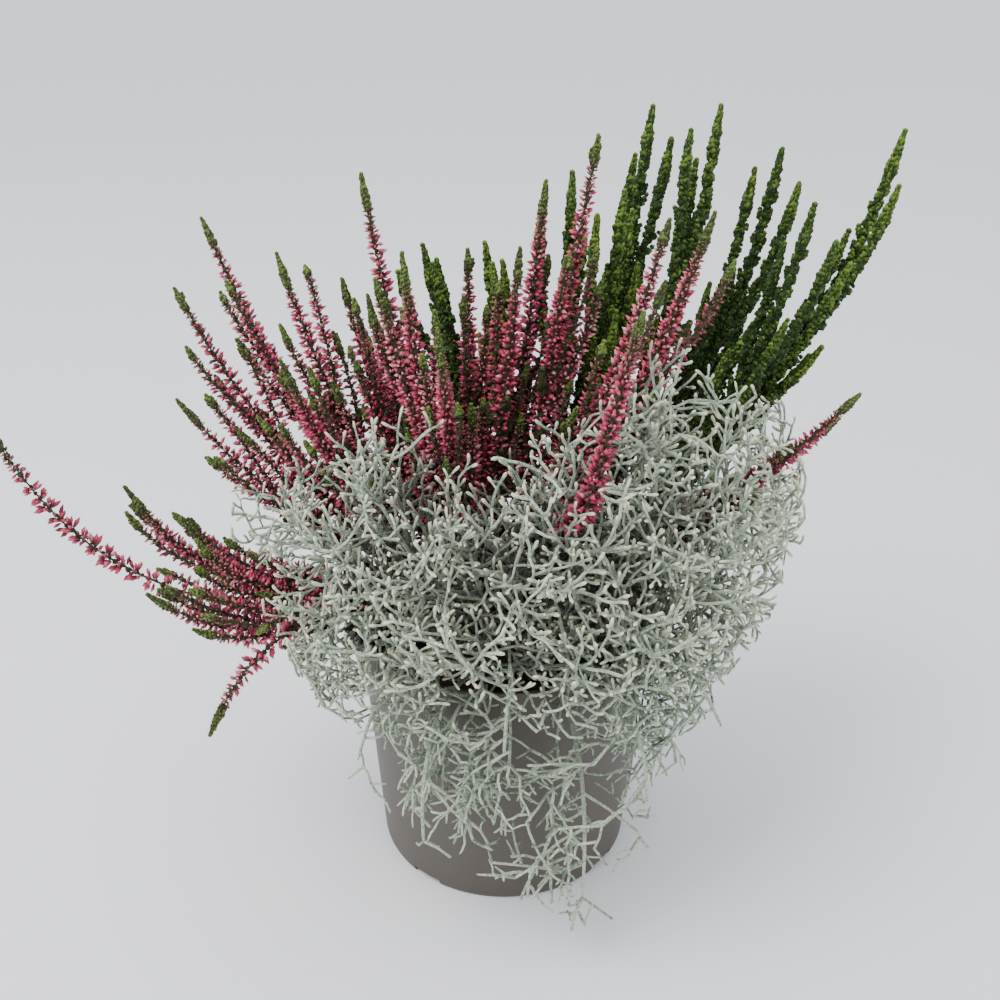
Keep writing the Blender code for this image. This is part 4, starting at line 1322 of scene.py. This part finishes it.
def add_spike(growth, bud, leaf, rng, stalk, first, tip, reach, settings, tone, gap):
    """A flowering stem: its buds, and above them a green leafy tip, often forked at its foot."""
    tip = tip / stalk.length
    add_buds(growth, bud, leaf, rng, stalk, first, 1 - tip * 0.8, reach, settings, tone, gap)
    long = settings.leaf_length * 1.1
    tint = rng.uniform(0.3, 1)
    add_pointed_end(growth, leaf, rng, stalk, 1 - tip, long, tint)
    fingers = int(rng.integers(-6, 6))
    if fingers > 0:
        places = 1 - tip * rng.uniform(0.6, 1.0, fingers)
        lengths = np.full(fingers, 4.6 * MM)
        add_fingers(growth, leaf, rng, stalk, places, lengths, math.radians(24), long * 0.7, tint)


def long_stem_reach(shares):
    """How far the loose clusters of the long low stem stand from it."""
    return 1.25 * room_along("pink", shares)


def add_old_leaves(growth, leaf, rng, stalk, settings):
    """Dark leafy shoots low on a stem, which fill the inside of the planting."""
    places = np.linspace(*OLD_PLACES)
    points = stalk.at(places, places)[0]
    places = places[norms(points[:, :2]) < OLD_CIRCLE]
    lengths = np.full(len(places), OLD_LENGTH)
    add_fingers(growth, leaf, rng, stalk, places, lengths, OLD_LEAN, settings.leaf_length * 1.6, -0.2)


def bulging(foot, widest, tip):
    """The reach of a side shoot's leaves or buds along it, from three sizes in millimetres."""
    return functools.partial(np.interp, xp=(0, 0.3, 1), fp=(foot * MM, widest * MM, tip * MM))


class HEATHER_OT_pink_heather(bpy.types.Operator):
    """Grow the stems of the pink bud heather"""

    bl_idname = "heather.pink_heather"
    bl_label = "Pink Heather"
    bl_options = {"REGISTER", "UNDO"}

    def execute(self, context):
        settings = context.scene.heather_pink
        bud, leaf = bud_shape(), leaf_shape()
        leaves = heather_leaves("heather leaves", settings)
        materials = [heather_bark(settings), bud_petals(settings), leaves]
        radii = settings.stem_radius * np.array((1, 0.72, 0.5, 0.42, 0.3))
        spikes = side_spikes()
        for number, (name, kind, path, shoots) in enumerate(planting()):
            if kind != "pink":
                continue
            rng, growth, stalk = started(number, path, radii)
            tone = rng.uniform(0.4, 0.75)
            add_old_leaves(growth, leaf, rng, stalk, settings)
            reach = functools.partial(room_along, "pink")
            tip = settings.tip_length * rng.uniform(0.75, 1.25)
            gap = settings.whorl_gap * rng.choice((1.0, 1.15, 1.4), p=(0.6, 0.3, 0.1))
            if name == LONG_STEM:
                # Its buds stand in loose clusters almost up to its tip.
                tip, gap = 0.4 * settings.tip_length, 1.9 * settings.whorl_gap
                reach = long_stem_reach
            add_spike(growth, bud, leaf, rng, stalk, BARE_SHARE + 0.05, tip, reach, settings, tone, gap)
            for line in spikes[name] + shoots:
                side = Stalk(line, SIDE_POINTS)
                add_stalk(growth, side, radii[1:] * 0.75)
                front = line is spikes[FRONT_STEM][0]
                short = bulging(3, 6.2 if front else 4.6, 3.6)
                tone = 0.5 if front else rng.uniform(0.05, 0.9)
                gap = settings.whorl_gap * (0.85 if front else 1.1)
                tip = settings.tip_length * rng.uniform(0.4, 0.85)
                first = 0.26 if front else 0.12
                add_spike(growth, bud, leaf, rng, side, first, tip, short, settings, tone, gap)
            finished(growth.grown(name.replace("stem", "spray"), materials), name)
        return {"FINISHED"}


def add_column(growth, leaf, rng, stalk, first, reach, settings, tint):
    """A leafy column: short shoots all round a stalk, and one pointed shoot at its end."""
    end = 1 - settings.end_length / stalk.length
    places = np.arange(first, end, settings.shoot_gap / stalk.length)
    long = settings.shoot_length * reach(places) / REACH["green"]
    long = long * np.interp(places, (end - 0.12, end), (1, 0.6))
    add_fingers(growth, leaf, rng, stalk, places, long, settings.shoot_angle, settings.leaf_length, tint)
    first = end - 4 * MM / stalk.length
    add_pointed_end(growth, leaf, rng, stalk, first, settings.leaf_length * 1.35, tint + 0.15)


class HEATHER_OT_green_heather(bpy.types.Operator):
    """Grow the columns of the green heather"""

    bl_idname = "heather.green_heather"
    bl_label = "Green Heather"
    bl_options = {"REGISTER", "UNDO"}

    def execute(self, context):
        settings = context.scene.heather_green
        leaf, bark = leaf_shape(), heather_bark(settings)
        materials = [bark, bark, heather_leaves("green heather leaves", settings)]
        radii = settings.stem_radius * np.array((1, 0.85, 0.7, 0.5, 0.3))
        for number, (name, kind, path, shoots) in enumerate(planting()):
            if kind != "green":
                continue
            rng, growth, stalk = started(number, path, radii)
            add_old_leaves(growth, leaf, rng, stalk, settings)
            tint = rng.uniform(0.15, 0.75)
            reach = functools.partial(room_along, "green")
            add_column(growth, leaf, rng, stalk, 0.2, reach, settings, tint)
            for line in side_spikes()[name] + shoots:
                side = Stalk(line, SIDE_POINTS)
                add_stalk(growth, side, radii[1:] * 0.7)
                short = bulging(3, 3.8, 2.6)
                add_column(growth, leaf, rng, side, 0.15, short, settings, tint + rng.uniform(-0.2, 0.35))
            finished(growth.grown(name.replace("stem", "column"), materials), name)
        return {"FINISHED"}


class Cells:
    """Small cubes of space, each kept for one twig, so that new twigs spread out evenly."""

    def __init__(self, size):
        self.size = size
        self.kept = set()

    def keys(self, points):
        return map(tuple, np.floor(points / self.size).astype(int).tolist())

    def are_open(self, points):
        return self.kept.isdisjoint(self.keys(points))

    def keep(self, points):
        self.kept.update(self.keys(points))


def clear_of_pot(points):
    """True where a fine twig passes over the rim or outside the pot, and stays above the floor."""
    for x, y, z in points.tolist():
        around = math.hypot(x, y)
        over = z > POT_HEIGHT + FINE_GAP
        outside = around > RIM_RADIUS + FINE_GAP
        below_rim = z < POT_HEIGHT - RIM_DEPTH - 2 * MM and around > WALL_TOP_RADIUS + FINE_GAP
        inside = around < WALL_TOP_RADIUS - 3.5 * MM and z > SOIL_TOP + 1.5 * MM
        if z < 2.5 * MM or not (over or outside or below_rim or inside):
            return False
    return True


def in_bush(points):
    """True where a fine twig stays in the bush's outline, or in the fringe down the pot's front."""
    x, y, z = points[-1]
    if z > FRINGE_TOP:
        return inside_cushion(points)
    heights, middles, halves, reaches = np.array(FRINGE).T * MM
    aside = abs(x - np.interp(z, heights, middles))
    close = math.hypot(x, y) < np.interp(z, heights, reaches)
    return bool(z > heights[0] and y < FRINGE_FRONT and aside < np.interp(z, heights, halves) and close)


def sprout(rng, cells, twigs, root, heading, length, forks, lean, lift, settings):
    """A twig and what it forks into, wherever space is open. Returns whether it grew."""
    lift = DROOP if root[2] < DROOP_BELOW else lift
    for _ in range(WAYS_TRIED):
        way = leant(heading, lean * rng.uniform(0.6, 1.3), rng.uniform(0, math.tau))
        way = unit(way + np.array((0, 0, lift)))
        end = root + way * length * rng.uniform(0.7, 1.2)
        points = root + (end - root) * np.array((0.4, 0.7, 1.0))[:, None]
        if cells.are_open(points) and clear_of_pot(points) and in_bush(points):
            cells.keep(points)
            break
    else:
        return False
    grown = []
    if forks:
        onward = (length * 0.95, forks - 1, settings.onward_angle)
        aside = (length * 0.75, max(forks - 2, 0), settings.fork_angle)
        for how in (onward, aside, aside)[: 2 + (rng.random() < 0.4)]:
            grown.append(sprout(rng, cells, twigs, end, way, *how, lift, settings))
    twigs.append((root, end, forks, not any(grown)))
    return True


def grown_twigs(rng, cells, path, branches, habit, settings):
    """The main twigs of one silver stem, and the fine ones that fork from it and from them."""
    mains = []
    stalk = Stalk(path)
    long, forks = settings.twig_length, settings.forks
    hanging = habit == "hanging"
    places = np.arange(FIRST_BRANCH, 1, settings.gap * (2 if hanging else 1) / stalk.length)
    points, ways, _ = stalk.at(places, places * 0)
    roots = [(point, way, long, forks) for point, way in zip(points, ways)]
    for place, end, ends in branches:
        start = resampled(path, np.array([place]))[0]
        if place < 1:
            mains.append((start, end, 3, False))
            way = unit(end - start)
            roots += [(start + (end - start) * share, way, long, forks) for share in (0.3, 0.55, 0.8)]
        for tip in ends:
            mains.append((end, tip, 2, False))
            way = unit(tip - end)
            roots += [(end + (tip - end) * share, way, long * 0.8, forks - 1) for share in (0.35, 0.7)]
            roots += [(tip, way, long, forks - 1)] * 2
    if hanging:
        roots = roots[::2]
    twigs = []
    for root in roots:
        sprout(rng, cells, twigs, *root, settings.fork_angle, LIFT[habit], settings)
    return mains + twigs


def add_twigs(growth, rng, twigs, settings):
    """Tubes for all the twigs, slightly bowed, with the last ones swollen to a blunt tip."""
    for last in (False, True):
        chosen = [each for each in twigs if each[3] == last]
        if not chosen:
            continue
        starts, ends, forks = (np.array([each[k] for each in chosen]) for k in range(3))
        count = len(chosen)
        shares = np.array((0, 0.45, 0.84, 1.0)) if last else np.array((0, 0.5, 1.0))
        paths = starts[:, None] + (ends - starts)[:, None] * shares[None, :, None]
        side = units(np.cross(ends - starts, rng.normal(size=(count, 3))))
        long = norms(ends - starts)
        bow = np.sin(shares * math.pi)[None] * (long * rng.uniform(0.03, 0.14, count))[:, None]
        paths = paths + side[:, None] * bow[..., None]
        thick = (settings.twig_radius + 0.06 * MM * forks)[:, None] * rng.uniform(0.88, 1.15, (count, 1))
        young = np.interp(ends[:, 2], (80 * MM, 135 * MM), (0.5, 1))[:, None]
        if last:
            ratios = np.array((1, 0.92, 0, 0))
            swell = np.array((0, 0, 1, 0.55)) * settings.tip_radius * (0.35 + 0.65 * young)
            radii = thick * ratios + swell * rng.uniform(0.8, 1.15, (count, 1))
        else:
            radii = thick * np.array((1.05, 0.9, 1.05))
        # Painted shade, with older wood: the nearer a twig starts to the bush's heart, the lower its
        # `height`, which turns it dark and takes the cream off its tip.
        away = norms((starts - BUSH_HEART) / BUSH_SIZE)
        height = np.clip((away - 0.4) / 0.55, 0, 1)[:, None]
        tip = shares * young if last else np.tile(shares * 0.4, (count, 1))
        growth.add_tubes(paths, radii, 4, tip, rng.random((count, 1)), height)


class HEATHER_OT_silver_bush(bpy.types.Operator):
    """Grow the wiry stems of the silver cushion bush"""

    bl_idname = "heather.silver_bush"
    bl_label = "Silver Bush"
    bl_options = {"REGISTER", "UNDO"}

    def execute(self, context):
        settings = context.scene.heather_silver
        material = silver_wool(settings)
        cells = Cells(settings.room)
        stems = planting()
        leafy = [path for _, kind, path, _ in stems if kind != "silver"]
        leafy += [path for paths in side_spikes().values() for path in paths]
        front = Stalk(side_spikes()[FRONT_STEM][0]).at(np.linspace(0.3, 1, 60), np.zeros(60))[0]
        for ahead in OPEN_STEPS:
            cells.keep(front + np.array(OPEN_WAY) * ahead * MM)
        places = np.repeat(np.arange(BARE_SHARE, 1, 0.008), 6)
        turns = np.arange(len(places)) * GOLDEN_ANGLE
        for path in leafy:
            points, _, outward = Stalk(path).at(places, turns)
            cells.keep(np.concatenate([points, points + outward * 3 * MM]))
        radii = np.array((SILVER_RADIUS, 1.0 * MM, 0.8 * MM, 0.6 * MM))
        silver = [stem for stem in stems if stem[1] == "silver"]
        for number, ((name, _, path, branches), (*_, habit)) in enumerate(zip(silver, STEMS["silver"])):
            rng, growth, _ = started(number, path, radii, 0)
            twigs = grown_twigs(rng, cells, path, branches, habit, settings)
            add_twigs(growth, rng, twigs, settings)
            finished(growth.grown(name.replace("stem", "spray"), [material]), name)
        return {"FINISHED"}


class HEATHER_OT_stage(bpy.types.Operator):
    """Set the floor, the lights and the camera"""

    bl_idname = "heather.stage"
    bl_label = "Stage"
    bl_options = {"REGISTER", "UNDO"}

    def execute(self, context):
        settings = context.scene.heather_stage
        deselected()
        bpy.ops.mesh.primitive_grid_add(
            x_subdivisions=24, y_subdivisions=24, size=FLOOR_SIZE, location=(0, 0, 0)
        )
        floor = bpy.context.object
        floor.name = "floor"
        floor.data.materials.append(studio_floor(settings))

        world = bpy.data.worlds.new("studio")
        world.use_nodes = True
        sky = world.node_tree.nodes["Background"]
        sky.inputs["Color"].default_value = SKY_COLOUR
        sky.inputs["Strength"].default_value = settings.sky_strength
        context.scene.world = world

        deselected()
        bpy.ops.object.light_add(type="AREA", location=KEY_PLACE)
        key = bpy.context.object
        key.data.energy = settings.key_power
        key.data.size = KEY_SIZE
        key.data.color = KEY_COLOUR
        key.rotation_euler = (Vector(KEY_TARGET) - key.location).to_track_quat("-Z", "Y").to_euler()

        place = (0, -settings.camera_distance, settings.camera_height)
        tilt = math.pi / 2 - settings.camera_tilt
        bpy.ops.object.camera_add(location=place, rotation=(tilt, 0, 0))
        camera = bpy.context.object
        camera.data.sensor_width = SENSOR_WIDTH
        camera.data.lens = settings.focal_pixels / IMAGE_SIZE * SENSOR_WIDTH
        camera.data.shift_x = (IMAGE_SIZE / 2 - settings.middle_column) / IMAGE_SIZE
        camera.data.clip_start = 0.01
        camera.data.clip_end = 100
        context.scene.camera = camera
        return {"FINISHED"}


class HEATHER_PT_panel(bpy.types.Panel):
    """Lists the pieces of the planting and their settings"""

    bl_label = "Potted Heather"
    bl_idname = "HEATHER_PT_panel"
    bl_space_type = "VIEW_3D"
    bl_region_type = "UI"
    bl_category = "Heather"

    def draw(self, context):
        for group, operator in STEPS:
            box = self.layout.box()
            box.operator(operator)
            settings = getattr(context.scene, group)
            for name in settings.__annotations__:
                box.prop(settings, name)


STEPS = (
    ("heather_pot", "heather.pot"),
    ("heather_soil", "heather.soil"),
    ("heather_pink", "heather.pink_heather"),
    ("heather_green", "heather.green_heather"),
    ("heather_silver", "heather.silver_bush"),
    ("heather_stage", "heather.stage"),
)
GROUPS = (PotSettings, SoilSettings, PinkSettings, GreenSettings, SilverSettings, StageSettings)
CLASSES = GROUPS + (
    HEATHER_OT_pot,
    HEATHER_OT_soil,
    HEATHER_OT_pink_heather,
    HEATHER_OT_green_heather,
    HEATHER_OT_silver_bush,
    HEATHER_OT_stage,
    HEATHER_PT_panel,
)


def register():
    for each in CLASSES:
        bpy.utils.register_class(each)
    for (name, _), group in zip(STEPS, GROUPS):
        setattr(bpy.types.Scene, name, PointerProperty(type=group))


def unregister():
    for name, _ in STEPS:
        delattr(bpy.types.Scene, name)
    for each in reversed(CLASSES):
        bpy.utils.unregister_class(each)


def main():
    """Models everything."""
    register()
    bpy.ops.heather.pot()
    bpy.ops.heather.soil()
    bpy.ops.heather.pink_heather()
    bpy.ops.heather.green_heather()
    bpy.ops.heather.silver_bush()
    bpy.ops.heather.stage()
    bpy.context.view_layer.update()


if __name__ == "__main__":
    main()
